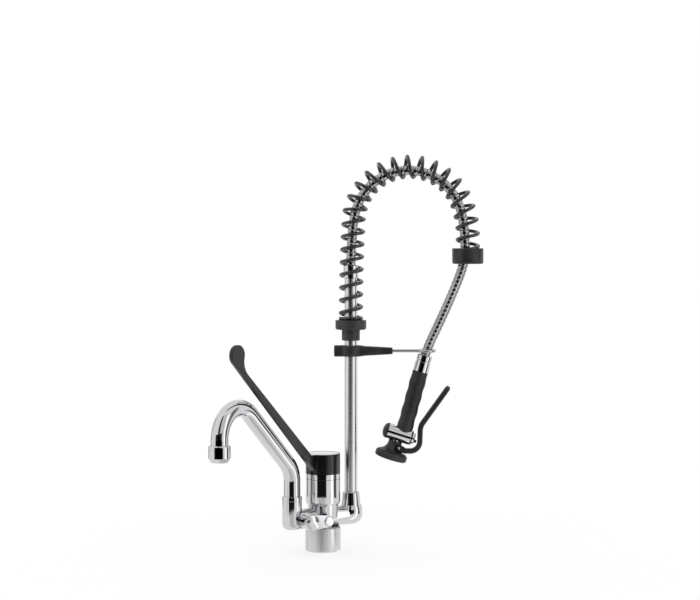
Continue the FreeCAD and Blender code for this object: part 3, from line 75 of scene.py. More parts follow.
# Hose route and size, in metres
HOSE_START = (0.0, 0.4236)
HOSE_LEG = ((0.0, 0.446), (0.0012, 0.472))
HOSE_CENTRE = (0.0895, 0.5015)
HOSE_ARCH_R = 0.0845
HOSE_STEPS = 8
HOSE_FALL = ((0.1786, 0.470), (0.1766, 0.441), (0.1614, 0.4015), (0.1412, 0.356))
HOSE_CORNER = (0.1187, 0.3090)
HOSE_END = (0.1147, 0.2946)
HOSE_R = 0.0077
HOSE_PITCH = 0.00705
HOSE_VALLEY = 0.0006             # depth of the groove between two bands
HOSE_CROWN = 0.00018             # rise of a band's middle
HOSE_GROOVE = 0.17               # half the groove's width, as a share of the pitch
HOSE_GROOVE_SHAPE = 0.7
HOSE_PLAIN = 0.004               # the bands fade out over this length at the ends
HOSE_SAMPLES = 24                # per control point
HOSE_STEP = 0.00055
HOSE_SIDES = 40

# Spring, in metres: the coil's centreline is arcs of (radius, degrees) and a straight tail
SPRING_START_Z = 0.35565
SPRING_ARCS = ((2.732, 3.23), (0.087, 156.77), (0.150, 20.0))
SPRING_TAIL = 0.0352
SOLID_TAIL = 0.0324              # the tail of the solids' spring
SPRING_R = 0.0164
WIRE_R = 0.0027
WIRE_SIDES = 18
COIL_STEPS = 40                  # points in a turn
COIL_LEAN = 0.13                 # how far a coil leans along the bow, per distance to its side
COILS = 23
FIRST_COIL = 0.0082
LAST_COIL = 0.0176
SPRING_CLOSING = 1.5             # turns that close down into the free cup
FOOT_RISE = 0.0002               # rise of the closed half turn in the lower cup
FOOT_EASE = 0.55
COIL_GAP = 0.0003

# Hand spray: places in the arch's plane in metres, the rest in millimetres. An outline is
# (radius, distance) along a piece's axis, and a third number rounds that corner.
HANDLE_BORE_R = 6.3
GRIP_FOOT = (0.08295, 0.18104)
HANDLE_WAY = (0.266, 0.964)
GRIP_L = 95.3
GRIP_R = 12.3
GRIP_BORE_R = 6.2
GRIP_WAVES = 4
GRIP_WAVE = 0.45
GRIP_STEPS = 60
GRIP_EDGE = 1.0
GRIP_TAIL = 3.0                  # the grip's rounded foot, below and above GRIP_FOOT
GRIP_TAIL_R = 7.3
GRIP_TAIL_VIA = (10.8, -1.2)
NECK_R = 12.0
NECK_L = 17.5
NECK_RIM_L = 2.5
NECK_STEP = 0.7
NECK_EDGE = 0.3
TURNING_GAP = 0.3                # between the neck and the nut that it turns in
HOSE_NUT_R = 11.8
HOSE_NUT_L = 8.8
HOSE_NUT_EDGE = 0.4
HOSE_NUT_SHOULDER = 1.2
HOSE_NUT_SEAT = 4
HOSE_NUT_FIT = 0.1
VALVE_END = (0.05796, 0.18126)
VALVE_WAY = (0.952, -0.305)
VALVE_R = 11.9
VALVE_L = 37.0
VALVE_EDGE = 0.8
CAP_WALL = 1.4
CAP_DOME = 6.8
CAP_STEPS = 9
GLAND_RING_L = 2.0
GLAND_RING = ((6.6, 0), (10.9, 0), (10.9, GLAND_RING_L), (6.6, GLAND_RING_L))
GLAND_NUT = ((2.6, -7), (6.4, -7), (6.4, 0), (8.6, 0), (8.6, 3.0), (7.6, 4.0), (2.6, 4.0))
SPRAY_FACE = (0.0610, 0.1375)
SPRAY_WAY = (0.300, 0.954)
VALVE_STUB = ((0, 27), (6.3, 27), (6.3, 36), (0, 36))
BELL_FOOT = ((0, 3.8), (20.7, 3.8), (20.7, 9.9), (22.0, 10.4), (22.4, 11.0), (22.4, 11.6))
BELL_BOWS = (((14.8, 15.9), (10.6, 23.0), 10),)
BELL_TOP = ((10.6, 29.0), (0, 29.0))
BUMPER = ((20.8, 5, 0), (20.8, 0, 1.0), (25.2, 0, 3.6), (25.2, 4.7, 0.5), (24.5, 5.2, 0.5),
          (25.1, 5.7, 0.5), (25.1, 10.5, 3.0), (20.8, 10.5, 0), (20.8, 5, 0))
PIVOT = (0.0743, 0.1541)
LUG = ((0, -4.0, 0), (6.0, -4.0, 0.6), (6.0, 4.0, 0.6), (0, 4.0, 0))
RIVET = ((0, -10.2), (1.2, -9.9), (2.2, -9.0), (2.2, 9.0), (1.9, 9.5), (1.2, 9.9), (0, 10.2))
LUG_ROOM = ((0, 4.3), (7.4, 4.3), (7.4, 40), (0, 40))
BAR_ROOM_AT = (0.0842, 0.1494)
BAR_ROOM = ((0, -30), (6.4, -30), (6.4, 30), (0, 30))

# Trigger, in millimetres: corners of (U, Z, radius) from the pin to the tip
TRIGGER_ROUTE = ((83.2, 149.9, 0), (84.0, 149.4, 4), (106.9, 149.0, 15), (108.2, 187.6, 22),
                 (152.8, 249.6, 0))
TRIGGER_STEP = 2.0
TRIGGER_W = 14.0
TRIGGER_T = 8.2
TRIGGER_SQUARE = 4.0
TIP_L = 0.006                    # metres over which the tip rounds off
TIP_LEAST = 0.02
TIP_THINNING = 0.55
CHEEK_SIDE = 0.0055              # metres from the arch's plane to a cheek's middle
CHEEK_HALF_T = 0.0011
CHEEK_HALF_UP = (0.0052, 0.0046, 0.0041)
CHEEK_SQUARE = 6.0
CHEEK_EYE = ((0, 0, 0), (5.6, 0, 0.5), (5.6, 2.2, 0.5), (0, 2.2, 0))

# Side arm and free cup, in millimetres but for the arm's height
ARM_Z = 0.3051
ARM_STEPS = 63
CLAMP_BACK = 26.0
CLAMP_BACK_W = 9.5               # half widths and half heights
CLAMP_R = 15.5
CLAMP_H = 8.7
CLAMP_TIP_U = 65.0
ARM_W = 10.4
ARM_TAPER = 5.2
SHOULDER = (12.0, 24.0)
SHOULDER_DROP = 1.4
ARM_DROP = 2.2
ARM_SQUARE = 7.0
BACK_EDGE = 1.0
BACK_EDGE_U = 0.8
BACK_SECTION = (9.4, 8.6)
TIP_EDGE = 0.6
ARM_SCREW = ((0, 1.6), (1.3, 1.6), (1.3, -0.4), (2.2, -0.4), (2.5, 0), (2.5, 8), (0, 8))
ROD_R = 2.4
ROD_START_U = 55.0
ROD_STEPS = 20
RING_U = 117.6
RING_R = 12.2
FREE_CUP = ((9.2, 6, 0), (9.2, 0, 0.4), (24.3, 0, 3.0), (24.3, 24.4, 1.2), (19.4, 24.4, 0.4),
            (19.4, 4.0, 0), (9.2, 4.0, 0), (9.2, 6, 0))

# Mixer, in millimetres: outlines round upright axes, and the arms' shell from the socket on
PEDESTAL_TOP = ((0, 35.0), (26.0, 35.0), (26.4, 35.6), (26.1, 36.3), (0, 36.3))
SKIRT_FOOT = ((18.0, 50), (22.6, 50), (22.6, 60.2))
SKIRT_BOWS = (((23.3, 67.5), (25.0, 72.6), 8), ((26.2, 74.0), (26.75, 76.6), 6))
SKIRT_TOP = ((26.75, 90), (18.0, 90))
ARMS_START = Vector((-0.0548, 0, 0.0517))
ARMS_SHELL = ((14.0, 4), (14.65, 4), (14.65, 101.6), (14.0, 101.6))
ELBOW_FOOT = ((0, 36.4), (4.0, 36.4))
ELBOW_BOWS = (((14.2, 41.6), (18.1, 51.8), 8), ((17.5, 59.5), (15.7, 66.2), 8))
ELBOW_TOP = ((12.4, 66.2), (12.4, 60), (0, 60))
# Painted shade: a thin black ring standing for the dark groove under the housing's cover
HOUSING_GROOVE_SHADE = ((20.0, 110.4), (26.7, 110.4), (26.7, 110.95), (20.0, 110.95))

# Studio, as polished metal sees it: white, with dark flags and a brighter strip. A row is low
# and high bearing from NEAR in degrees, soft edge, span of reach or rise, and depth or gain.
# The floor's span is metres from the axis, the world's is the sine of the elevation.
FLOOR_FLAGS = ((-37, 24, 3, 0.45, 30, 0.99), (-47, 34, 3, 0.90, 30, 0.97),
               (-29, 17, 8, 0.06, 0.45, 0.32), (78, 100, 5, 0.45, 30, 0.9),
               (-58, -51, 2, 0.45, 0.80, 0.35), (-128, -114, 5, 0.5, 30, 0.8),
               (150, 170, 6, 0.6, 30, 0.85))
FLOOR_STRIPS = ((57, 72, 4, 0.02, 30, 0.8),)
FLOOR_SOFT = 0.04
WORLD_FLAGS = ((-47, 34, 4, -1, 0.20, 0.97), (-20, 6, 4, -1, 0.9, 0.97),
               (12, 46, 6, -1, 0.9, 0.25), (78, 100, 5, -1, 0.5, 0.8),
               (-128, -114, 5, -1, 0.5, 0.7), (150, 170, 6, -1, 0.5, 0.7))
WORLD_STRIPS = ((57, 72, 4, -1, 0.6, 0.7),)
WORLD_SOFT = 0.02
FLOOR_HALF = 9.0
FLOOR_GLOW = 0.75                # how much of the floor the camera sees as plain white


# ---------------------------------------------------------------- materials

NOISE_SPAN = (0.3, 0.7)          # where most of a noise's values lie
BROAD = 25                       # the broad noise is this much coarser than the grain
GROOVES = (0.02, 0.02, 1)        # stretch that draws a noise out into level grooves
GROOVE_DETAIL = 4
GROOVE_STRENGTH = 0.5


def node_material(name):
    material = bpy.data.materials.new(name)
    material.use_nodes = True
    tree = material.node_tree
    return material, tree, tree.nodes["Principled BSDF"]


def noise(tree, scale, detail=3.0, stretch=(1, 1, 1)):
    """Noise in the object's own coordinates, with features about 1/scale metres."""
    coords = tree.nodes.new("ShaderNodeTexCoord")
    mapping = tree.nodes.new("ShaderNodeMapping")
    mapping.inputs["Scale"].default_value = stretch
    texture = tree.nodes.new("ShaderNodeTexNoise")
    texture.inputs["Scale"].default_value = scale
    texture.inputs["Detail"].default_value = detail
    tree.links.new(coords.outputs["Object"], mapping.inputs["Vector"])
    tree.links.new(mapping.outputs["Vector"], texture.inputs["Vector"])
    return texture.outputs["Fac"]


def spread(tree, value, low, high):
    """Map a noise to low-high."""
    node = tree.nodes.new("ShaderNodeMapRange")
    node.inputs["From Min"].default_value = NOISE_SPAN[0]
    node.inputs["From Max"].default_value = NOISE_SPAN[1]
    node.inputs["To Min"].default_value = low
    node.inputs["To Max"].default_value = high
    tree.links.new(value, node.inputs["Value"])
    return node.outputs["Result"]


def tint(tree, value, dark, light):
    """Colour between two near shades, led by a noise."""
    ramp = tree.nodes.new("ShaderNodeValToRGB")
    for element, position, shade in zip(ramp.color_ramp.elements, NOISE_SPAN, (dark, light)):
        element.position = position
        element.color = (*shade, 1)
    tree.links.new(value, ramp.inputs["Fac"])
    return ramp.outputs["Color"]


def bump(tree, shader, value, distance, strength=1.0):
    node = tree.nodes.new("ShaderNodeBump")
    node.inputs["Strength"].default_value = strength
    node.inputs["Distance"].default_value = distance
    tree.links.new(value, node.inputs["Height"])
    tree.links.new(node.outputs["Normal"], shader.inputs["Normal"])


def surface(name, shades, roughness, grain, relief, metallic=0.0, specular=0.5):
    """A finish: two near shades from a broad noise, a roughness span and relief from a fine one."""
    material, tree, shader = node_material(name)
    value = noise(tree, grain)
    broad = noise(tree, grain / BROAD)
    tree.links.new(tint(tree, broad, *shades), shader.inputs["Base Color"])
    tree.links.new(spread(tree, value, *roughness), shader.inputs["Roughness"])
    shader.inputs["Metallic"].default_value = metallic
    shader.inputs["Specular IOR Level"].default_value = specular
    bump(tree, shader, value, relief)
    return material


def brushed(name, shades, roughness, lines, relief, anisotropy):
    """Metal with fine grooves round the Z axis, which draw its reflections out up and down."""
    material, tree, shader = node_material(name)
    grooves = noise(tree, lines, GROOVE_DETAIL, GROOVES)
    tree.links.new(tint(tree, grooves, *shades), shader.inputs["Base Color"])
    tree.links.new(spread(tree, grooves, *roughness), shader.inputs["Roughness"])
    shader.inputs["Metallic"].default_value = 1.0
    shader.inputs["Anisotropic"].default_value = anisotropy
    geometry = tree.nodes.new("ShaderNodeNewGeometry")
    level = tree.nodes.new("ShaderNodeVectorMath")
    level.operation = "CROSS_PRODUCT"
    level.inputs[1].default_value = (0, 0, 1)
    tree.links.new(geometry.outputs["Normal"], level.inputs[0])
    upward = tree.nodes.new("ShaderNodeVectorMath")
    upward.operation = "CROSS_PRODUCT"
    tree.links.new(level.outputs[0], upward.inputs[0])
    tree.links.new(geometry.outputs["Normal"], upward.inputs[1])
    tree.links.new(upward.outputs[0], shader.inputs["Tangent"])
    bump(tree, shader, grooves, relief, GROOVE_STRENGTH)
    return material


chrome = surface("chrome_plate", ((0.59, 0.595, 0.605), (0.63, 0.635, 0.645)), (0.02, 0.05),
                 metallic=1.0, grain=500, relief=0.000002)
hose_chrome = surface("hose_steel", ((0.35, 0.35, 0.355), (0.42, 0.42, 0.425)), (0.10, 0.20),
                      metallic=1.0, grain=900, relief=0.000005)
satin = brushed("satin_steel", ((0.64, 0.64, 0.645), (0.68, 0.68, 0.685)), (0.34, 0.42),
                2500, 0.000001, 0.95)
column_steel = brushed("column_tube_steel", ((0.66, 0.665, 0.67), (0.71, 0.715, 0.72)),
                       (0.21, 0.25), 3500, 0.0000005, 1.0)
steel = surface("plain_steel", ((0.42, 0.42, 0.42), (0.50, 0.50, 0.50)), (0.25, 0.38),
                metallic=1.0, grain=1800, relief=0.000006)
brass = surface("machined_brass", ((0.58, 0.42, 0.20), (0.68, 0.50, 0.26)), (0.20, 0.34),
                metallic=1.0, grain=1400, relief=0.000006)
lever_black = surface("lever_black", ((0.004, 0.004, 0.0045), (0.007, 0.007, 0.0075)),
                      (0.16, 0.22), grain=2600, relief=0.000002)
cup_black = surface("cup_black", ((0.022, 0.022, 0.024), (0.032, 0.032, 0.034)),
                    (0.42, 0.56), grain=2200, relief=0.000020)
arm_black = surface("arm_black", ((0.013, 0.013, 0.014), (0.027, 0.027, 0.028)),
                    (0.34, 0.50), grain=1700, relief=0.000024, specular=0.4)
handset_black = surface("handset_black", ((0.009, 0.009, 0.010), (0.018, 0.018, 0.019)),
                        (0.32, 0.50), grain=1500, relief=0.000020)
grip_rubber = surface("grip_rubber", ((0.006, 0.006, 0.007), (0.022, 0.022, 0.023)),
                      (0.42, 0.66), grain=520, relief=0.000120)
wire_black = surface("wire_coating", ((0.008, 0.008, 0.009), (0.014, 0.014, 0.015)),
                     (0.16, 0.26), grain=1500, relief=0.000006, specular=0.8)
rubber = surface("seal_rubber", ((0.016, 0.016, 0.016), (0.026, 0.026, 0.026)), (0.5, 0.66),
                 grain=1600, relief=0.000020)
white_plastic = surface("white_moulding", ((0.70, 0.70, 0.68), (0.78, 0.78, 0.76)), (0.35, 0.5),
                        grain=1500, relief=0.000010)

FINISHES = {
    chrome: ["mixer_body", "cover_ring", "lever_cap", "spout_tube", "spout_nut",
             "aerator_housing", "shutoff_knob", "column_nut", "column_top_nut", "hose_ferrule",
             "hose_nut", "handle_neck", "valve_body", "gland_nut"],
    satin: ["base_sleeve"],
    column_steel: ["column_tube"],
    steel: ["knob_screw", "cup_screw", "lever_screw", "arm_clamp_screw", "arm_hook",
            "headwork_spindle", "spray_face", "pivot_pin", "return_spring"],
    brass: ["foot_block", "cartridge_nut", "spout_spigot", "valve_headwork", "handle_tube",
            "cartridge_stem"],
    lever_black: ["mixer_lever"],
    cup_black: ["lower_spring_cup"],
    arm_black: ["upper_spring_cup", "arm_clamp"],
    handset_black: ["trigger", "valve_end_cap", "spray_head", "gland_ring", "valve_stem"],
    grip_rubber: ["spray_grip"],
    rubber: ["base_gasket", "spout_o_rings", "aerator_washer", "column_seal", "top_washer",
             "spray_bumper"],
    white_plastic: ["aerator_insert", "ceramic_cartridge"],
}


def dress(thing, material):
    thing.data.materials.clear()
    thing.data.materials.append(material)


for material, nodes in FINISHES.items():
    for node in nodes:
        dress(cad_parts[node], material)


# ------------------------------------------------------------------- pieces

def link(name, mesh):
    thing = bpy.data.objects.new(name, mesh)
    scene.collection.objects.link(thing)
    return thing


def in_arch(u, z, side=0.0):
    """Point of the arch's plane in the row frame."""
    return Vector((COLUMN_X, 0, 0)) + ARCH_OUT * u + ARCH_SIDE * side + Vector((0, 0, z))


def spline_line(points, per_point):
    """Points along the smooth NURBS line led by the given control points."""
    curve = bpy.data.curves.new("line", "CURVE")
    curve.dimensions = "3D"
    spline = curve.splines.new("NURBS")
    spline.points.add(len(points) - 1)
    for point, place in zip(spline.points, points):
        point.co = (*place, 1)
    spline.order_u = 3
    spline.use_endpoint_u = True
    spline.resolution_u = per_point
    carrier = link("line", curve)
    mesh = bpy.data.meshes.new_from_object(carrier)
    line = [vertex.co.copy() for vertex in mesh.vertices]
    bpy.data.objects.remove(carrier)
    bpy.data.curves.remove(curve)
    bpy.data.meshes.remove(mesh)
    return line


def even(line, step):
    """The same line at equal steps, and the step."""
    gaps = [(b - a).length for a, b in zip(line, line[1:])]
    total = sum(gaps)
    count = max(2, round(total / step))
    out, i, done = [], 0, 0.0
    for k in range(count + 1):
        want = total * k / count
        while i < len(gaps) - 1 and done + gaps[i] < want:
            done += gaps[i]
            i += 1
        share = 0 if gaps[i] == 0 else min(1, (want - done) / gaps[i])
        out.append(line[i].lerp(line[i + 1], share))
    return out, total / count


def sweep(line, across, sides, offset):
    """Mesh lists of a closed bar along a line. offset(step, angle) is its skin, aside and up."""
    verts, faces = [], []
    side = across.copy()
    for i, place in enumerate(line):
        ahead = (line[min(i + 1, len(line) - 1)] - line[max(i - 1, 0)]).normalized()
        side = (side - ahead * side.dot(ahead)).normalized()
        up = ahead.cross(side)
        for k in range(sides):
            aside, upward = offset(i, 2 * math.pi * k / sides)
            verts.append(place + side * aside + up * upward)
    for i in range(len(line) - 1):
        for k in range(sides):
            a, b = i * sides + k, i * sides + (k + 1) % sides
            faces.append((a, b, b + sides, a + sides))
    faces.append(tuple(range(sides - 1, -1, -1)))
    last = (len(line) - 1) * sides
    faces.append(tuple(range(last, last + sides)))
    return verts, faces


def tube(name, line, radius, sides, across):
    """Closed tube along a line. radius(step, angle) gives its skin, across a first side."""
    def offset(i, angle):
        r = radius(i, angle)
        return r * math.cos(angle), r * math.sin(angle)

    verts, faces = sweep(line, across, sides, offset)
    mesh = bpy.data.meshes.new(name)
    mesh.from_pydata(verts, [], faces)
    mesh.polygons.foreach_set("use_smooth", [True] * len(mesh.polygons))
    mesh.update()
    return link(name, mesh)


def hose_route():
    step = math.pi / HOSE_STEPS
    corner_r = HOSE_ARCH_R / math.cos(step / 2)
    route = [HOSE_START, *HOSE_LEG]
    for i in range(HOSE_STEPS):
        angle = math.pi - step * (i + 0.5)
        route.append((HOSE_CENTRE[0] + corner_r * math.cos(angle),
                      HOSE_CENTRE[1] + corner_r * math.sin(angle)))
    return [in_arch(u, z) for u, z in route + list(HOSE_FALL) + [HOSE_CORNER, HOSE_END]]


def make_hose():
    """Wound metal hose: broad rounded bands with a narrow groove between them."""
    line, step = even(spline_line(hose_route(), HOSE_SAMPLES), HOSE_STEP)

    def skin(i, angle):
        s = i * step
        phase = (s / HOSE_PITCH + angle / (2 * math.pi)) % 1.0
        groove = max(0.0, 1 - abs(phase - 0.5) / HOSE_GROOVE) ** HOSE_GROOVE_SHAPE
        crown = math.cos(phase * 2 * math.pi) * 0.5 + 0.5
        fade = min(1.0, s / HOSE_PLAIN, (len(line) * step - s) / HOSE_PLAIN)
        return HOSE_R - (HOSE_VALLEY * groove + HOSE_CROWN * (1 - crown)) * fade

    piece = tube("hose_skin", line, skin, HOSE_SIDES, ARCH_SIDE)
    dress(piece, hose_chrome)
    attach(piece, "arch")
    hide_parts("hose")


class Centreline:
    """Arcs in the arch's plane and a straight end, measured along their length."""

    def __init__(self):
        self.pieces = []
        place, angle, done = Vector((0, SPRING_START_Z)), math.pi / 2, 0.0
        for radius, turn in SPRING_ARCS:
            self.pieces.append((done, place.copy(), angle, radius))
            centre = place + self.right(angle) * radius
            angle -= math.radians(turn)
            place = centre - self.right(angle) * radius
            done += radius * math.radians(turn)
        self.pieces.append((done, place.copy(), angle, None))
        self.length = done + SPRING_TAIL

    @staticmethod
    def right(angle):
        return Vector((math.sin(angle), -math.cos(angle)))

    def at(self, distance):
        started = [piece for piece in self.pieces if piece[0] <= max(distance, 0)]
        done, place, angle, radius = started[-1]
        step = distance - done
        if radius is None:
            return place + Vector((math.cos(angle), math.sin(angle))) * step, angle
        centre = place + self.right(angle) * radius
        angle -= step / radius
        return centre - self.right(angle) * radius, angle


def coil_distance(path, turn):
    """Distance along the centreline at a turn; the first turn and the last ones are closed."""
    pitch = (path.length - WIRE_R - FIRST_COIL - LAST_COIL) / COILS
    if turn < -0.5:
        return 2 * FOOT_RISE * (turn + 1.0)
    if turn < 0:
        share = 2 * turn + 1
        return FOOT_RISE + (FIRST_COIL - FOOT_RISE) * share * (
            FOOT_EASE + (1 - FOOT_EASE) * share)
    if turn <= COILS:
        return FIRST_COIL + pitch * turn
    share = (turn - COILS) / SPRING_CLOSING
    rise = LAST_COIL - COIL_GAP / 2
    return path.length - WIRE_R - LAST_COIL + rise * share * (2 - share)


def make_spring():
    """One unbroken coil round the bowed centreline."""
    path = Centreline()
    line = []
    count = int(round((COILS + SPRING_CLOSING + 1) * COIL_STEPS))
    for i in range(count + 1):
        turn = -1.0 + i / COIL_STEPS
        place, angle = path.at(coil_distance(path, turn))
        outward = path.right(angle) * -1
        around = 2 * math.pi * turn
        flat = place + outward * (SPRING_R * math.cos(around))
        heading = Vector((math.cos(angle), math.sin(angle)))
        turn_way = heading.x * outward.y - heading.y * outward.x
        side = -turn_way * SPRING_R * math.sin(around)
        flat += heading * (COIL_LEAN * side * heading.x)
        line.append(in_arch(flat.x, flat.y, side))
    piece = tube("arch_spring_wire", line, lambda i, angle: WIRE_R, WIRE_SIDES, UP)
    dress(piece, wire_black)
    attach(piece, "arch")
    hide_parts("arch_spring")


def rounded(corners, steps):
    """Points of an open outline of (a, b, radius) corners, with true arcs at its corners."""
    points = []
    last = len(corners) - 1
    for i, (a, b, radius) in enumerate(corners):
        here = Vector((a, b))
        if radius == 0 or i in (0, last):
            points.append((a, b))
            continue
        back = (Vector(corners[i - 1][:2]) - here).normalized()
        ahead = (Vector(corners[i + 1][:2]) - here).normalized()
        half = back.angle(ahead) / 2
        centre = here + (back + ahead).normalized() * (radius / math.sin(half))
        first = here + back * (radius / math.tan(half)) - centre
        turn = (here + ahead * (radius / math.tan(half)) - centre).angle_signed(first)
        for k in range(steps + 1):
            angle = turn * k / steps
            points.append(tuple(centre + Vector((
                first.x * math.cos(angle) - first.y * math.sin(angle),
                first.x * math.sin(angle) + first.y * math.cos(angle)))))
    return points


def bow(a, via, b, steps):
    """Points of a smooth bow from a by way of via to b, without a itself."""
    lead = (2 * via[0] - (a[0] + b[0]) / 2, 2 * via[1] - (a[1] + b[1]) / 2)
    out = []
    for k in range(1, steps + 1):
        t = k / steps
        out.append(tuple((1 - t) ** 2 * a[j] + 2 * t * (1 - t) * lead[j] + t * t * b[j]
                         for j in (0, 1)))
    return out


def bowed(foot, bows, top):
    """Outline with a straight foot, bows of (via, end, steps) and a straight top."""
    outline = list(foot)
    for via, end, steps in bows:
        outline += bow(outline[-1], via, end, steps)
    return outline + list(top)


def lathe(foot, ahead, profile, closed=False, sides=TURNED_SIDES, start=0.0):
    """Mesh lists of an outline of (radius, distance) in mm turned about a line."""
    ahead = ahead.normalized()
    side = ahead.orthogonal().normalized()
    up = ahead.cross(side)
    verts, faces, rings = [], [], []
    for radius, distance in profile:
        middle = foot + ahead * ((start + distance) / 1000)
        if radius < TINY:
            rings.append([len(verts)])
            verts.append(middle)
            continue
        rings.append(list(range(len(verts), len(verts) + sides)))
        for k in range(sides):
            angle = 2 * math.pi * k / sides
            verts.append(middle + (side * math.cos(angle) + up * math.sin(angle))
                         * (radius / 1000))
    pairs = list(zip(rings, rings[1:]))
    if closed:
        pairs.append((rings[-1], rings[0]))
    for low, high in pairs:
        for k in range(sides):
            n = (k + 1) % sides
            if len(low) == 1:
                faces.append((low[0], high[n], high[k]))
            elif len(high) == 1:
                faces.append((low[k], low[n], high[0]))
            else:
                faces.append((low[k], low[n], high[n], high[k]))
    return verts, faces


def bar(line, half_side, half_up, square):
    """Mesh lists of a bar with a rounded oblong section along a line in the arch, in metres."""
    def offset(i, angle):
        c, d = math.cos(angle), math.sin(angle)
        r = (abs(c / half_side[i]) ** square + abs(d / half_up[i]) ** square) ** (-1 / square)
        return r * c, r * d

    return sweep(line, ARCH_SIDE, BAR_SIDES, offset)


def mesh_of(name, parts):
    """One mesh from mesh lists, with its faces turned outwards."""
    mesh = bpy.data.meshes.new(name)
    work = bmesh.new()
    for verts, faces in parts:
        made = [work.verts.new(place) for place in verts]
        for face in faces:
            work.faces.new([made[k] for k in face])
    bmesh.ops.recalc_face_normals(work, faces=work.faces)
    work.to_mesh(mesh)
    work.free()
    return mesh


def smooth(mesh):
    mesh.polygons.foreach_set("use_smooth", [True] * len(mesh.polygons))
    mesh.set_sharp_from_angle(angle=SHARP_ANGLE)


def piece_of(name, parts, finish, body, slot, *nodes):
    """One named piece from mesh lists, on a body, in place of the nodes."""
    mesh = mesh_of(name, parts)
    smooth(mesh)
    piece = link(name, mesh)
    dress(piece, finish)
    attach(piece, body)
    if nodes:
        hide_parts(*nodes)
    return piece


def carve(piece, rooms):
    """Cut closed mesh lists out of a piece."""
    for part in rooms:
        mesh = mesh_of("room", [part])
        room = link("room", mesh)
        cut = piece.modifiers.new("cut", "BOOLEAN")
        cut.operation = "DIFFERENCE"
        cut.solver = "EXACT"
        cut.object = room
        shown = piece.evaluated_get(bpy.context.evaluated_depsgraph_get())
        carved = bpy.data.meshes.new_from_object(shown)
        piece.modifiers.remove(cut)
        old = piece.data
        piece.data = carved
        bpy.data.objects.remove(room)
        bpy.data.meshes.remove(mesh)
        bpy.data.meshes.remove(old)
    smooth(piece.data)


def arch_line(points):
    return [in_arch(u / 1000, z / 1000) for u, z in points]


def arch_way(u, z):
    return ARCH_OUT * u + Vector((0, 0, z))


def make_grip():
    """Rubber grip with shallow waves, and the chrome neck and hose nut above it."""
    foot = in_arch(*GRIP_FOOT)
    up = arch_way(*HANDLE_WAY)
    grip = bowed([(GRIP_BORE_R, -GRIP_TAIL), (GRIP_TAIL_R, -GRIP_TAIL)],
                 [(GRIP_TAIL_VIA, (GRIP_R - GRIP_WAVE, GRIP_TAIL), 6)], [])
    for i in range(1, GRIP_STEPS + 1):
        swell = GRIP_WAVE * math.sin(2 * math.pi * GRIP_WAVES * i / GRIP_STEPS)
        grip.append((GRIP_R + swell,
                     GRIP_TAIL + (GRIP_L - GRIP_TAIL - GRIP_EDGE) * i / GRIP_STEPS))
    grip += [(GRIP_R - GRIP_EDGE, GRIP_L), (GRIP_BORE_R, GRIP_L)]
    piece_of("grip_skin", [lathe(foot, up, grip, closed=True)], grip_rubber, "handset",
             "black_rubber", "spray_grip")

    rim_r, rim_z = NECK_R - NECK_STEP, NECK_L - NECK_RIM_L
    neck = [(HANDLE_BORE_R, 0), (NECK_R, 0), (NECK_R, rim_z - NECK_EDGE),
            (NECK_R - NECK_EDGE, rim_z), (rim_r, rim_z), (rim_r, NECK_L - NECK_EDGE),
            (rim_r - NECK_EDGE, NECK_L), (HANDLE_BORE_R, NECK_L)]
    piece_of("neck_skin", [lathe(foot, up, neck, closed=True, start=GRIP_L)], chrome,
             "handset", "chrome", "handle_neck")

    bore_r = HOSE_R * 1000 + HOSE_NUT_FIT
    nut = [(HANDLE_BORE_R, 0), (HOSE_NUT_R - HOSE_NUT_EDGE, 0), (HOSE_NUT_R, HOSE_NUT_EDGE),
           (HOSE_NUT_R, HOSE_NUT_L - HOSE_NUT_SHOULDER),
           (HOSE_NUT_R - HOSE_NUT_SHOULDER, HOSE_NUT_L), (bore_r, HOSE_NUT_L),
           (bore_r, HOSE_NUT_SEAT)]
    low = GRIP_L + NECK_L + TURNING_GAP
    piece_of("hose_nut_skin", [lathe(foot, up, nut, closed=True, start=low)], chrome, "arch",
             "chrome", "hose_nut")


def make_valve():
    """Chrome cross valve with its domed cap, ring and gland nut."""
    foot, way = in_arch(*VALVE_END), arch_way(*VALVE_WAY)
    valve = [(0, 0), (VALVE_R, 0), (VALVE_R, VALVE_L - VALVE_EDGE),
             (VALVE_R - VALVE_EDGE, VALVE_L), (0, VALVE_L)]
    stub = lathe(in_arch(*SPRAY_FACE), arch_way(*SPRAY_WAY), VALVE_STUB)
    piece_of("valve_skin", [lathe(foot, way, valve), stub], chrome, "handset", "chrome",
             "valve_body")
    cap = [(0, 0), (VALVE_R, 0), (VALVE_R, -CAP_WALL)]
    for k in range(1, CAP_STEPS):
        angle = math.pi / 2 * k / CAP_STEPS
        cap.append((VALVE_R * math.cos(angle), -CAP_WALL - CAP_DOME * math.sin(angle)))
    cap.append((0, -CAP_WALL - CAP_DOME))
    piece_of("valve_cap_skin", [lathe(foot, way, cap)], handset_black, "handset",
             "black_plastic", "valve_end_cap")
    piece_of("gland_ring_skin", [lathe(foot, way, GLAND_RING, closed=True, start=VALVE_L)],
             handset_black, "handset", "black_plastic", "gland_ring")
    low = VALVE_L + GLAND_RING_L
    piece_of("gland_nut_skin", [lathe(foot, way, GLAND_NUT, closed=True, start=low)], chrome,
             "handset", "brass", "gland_nut")


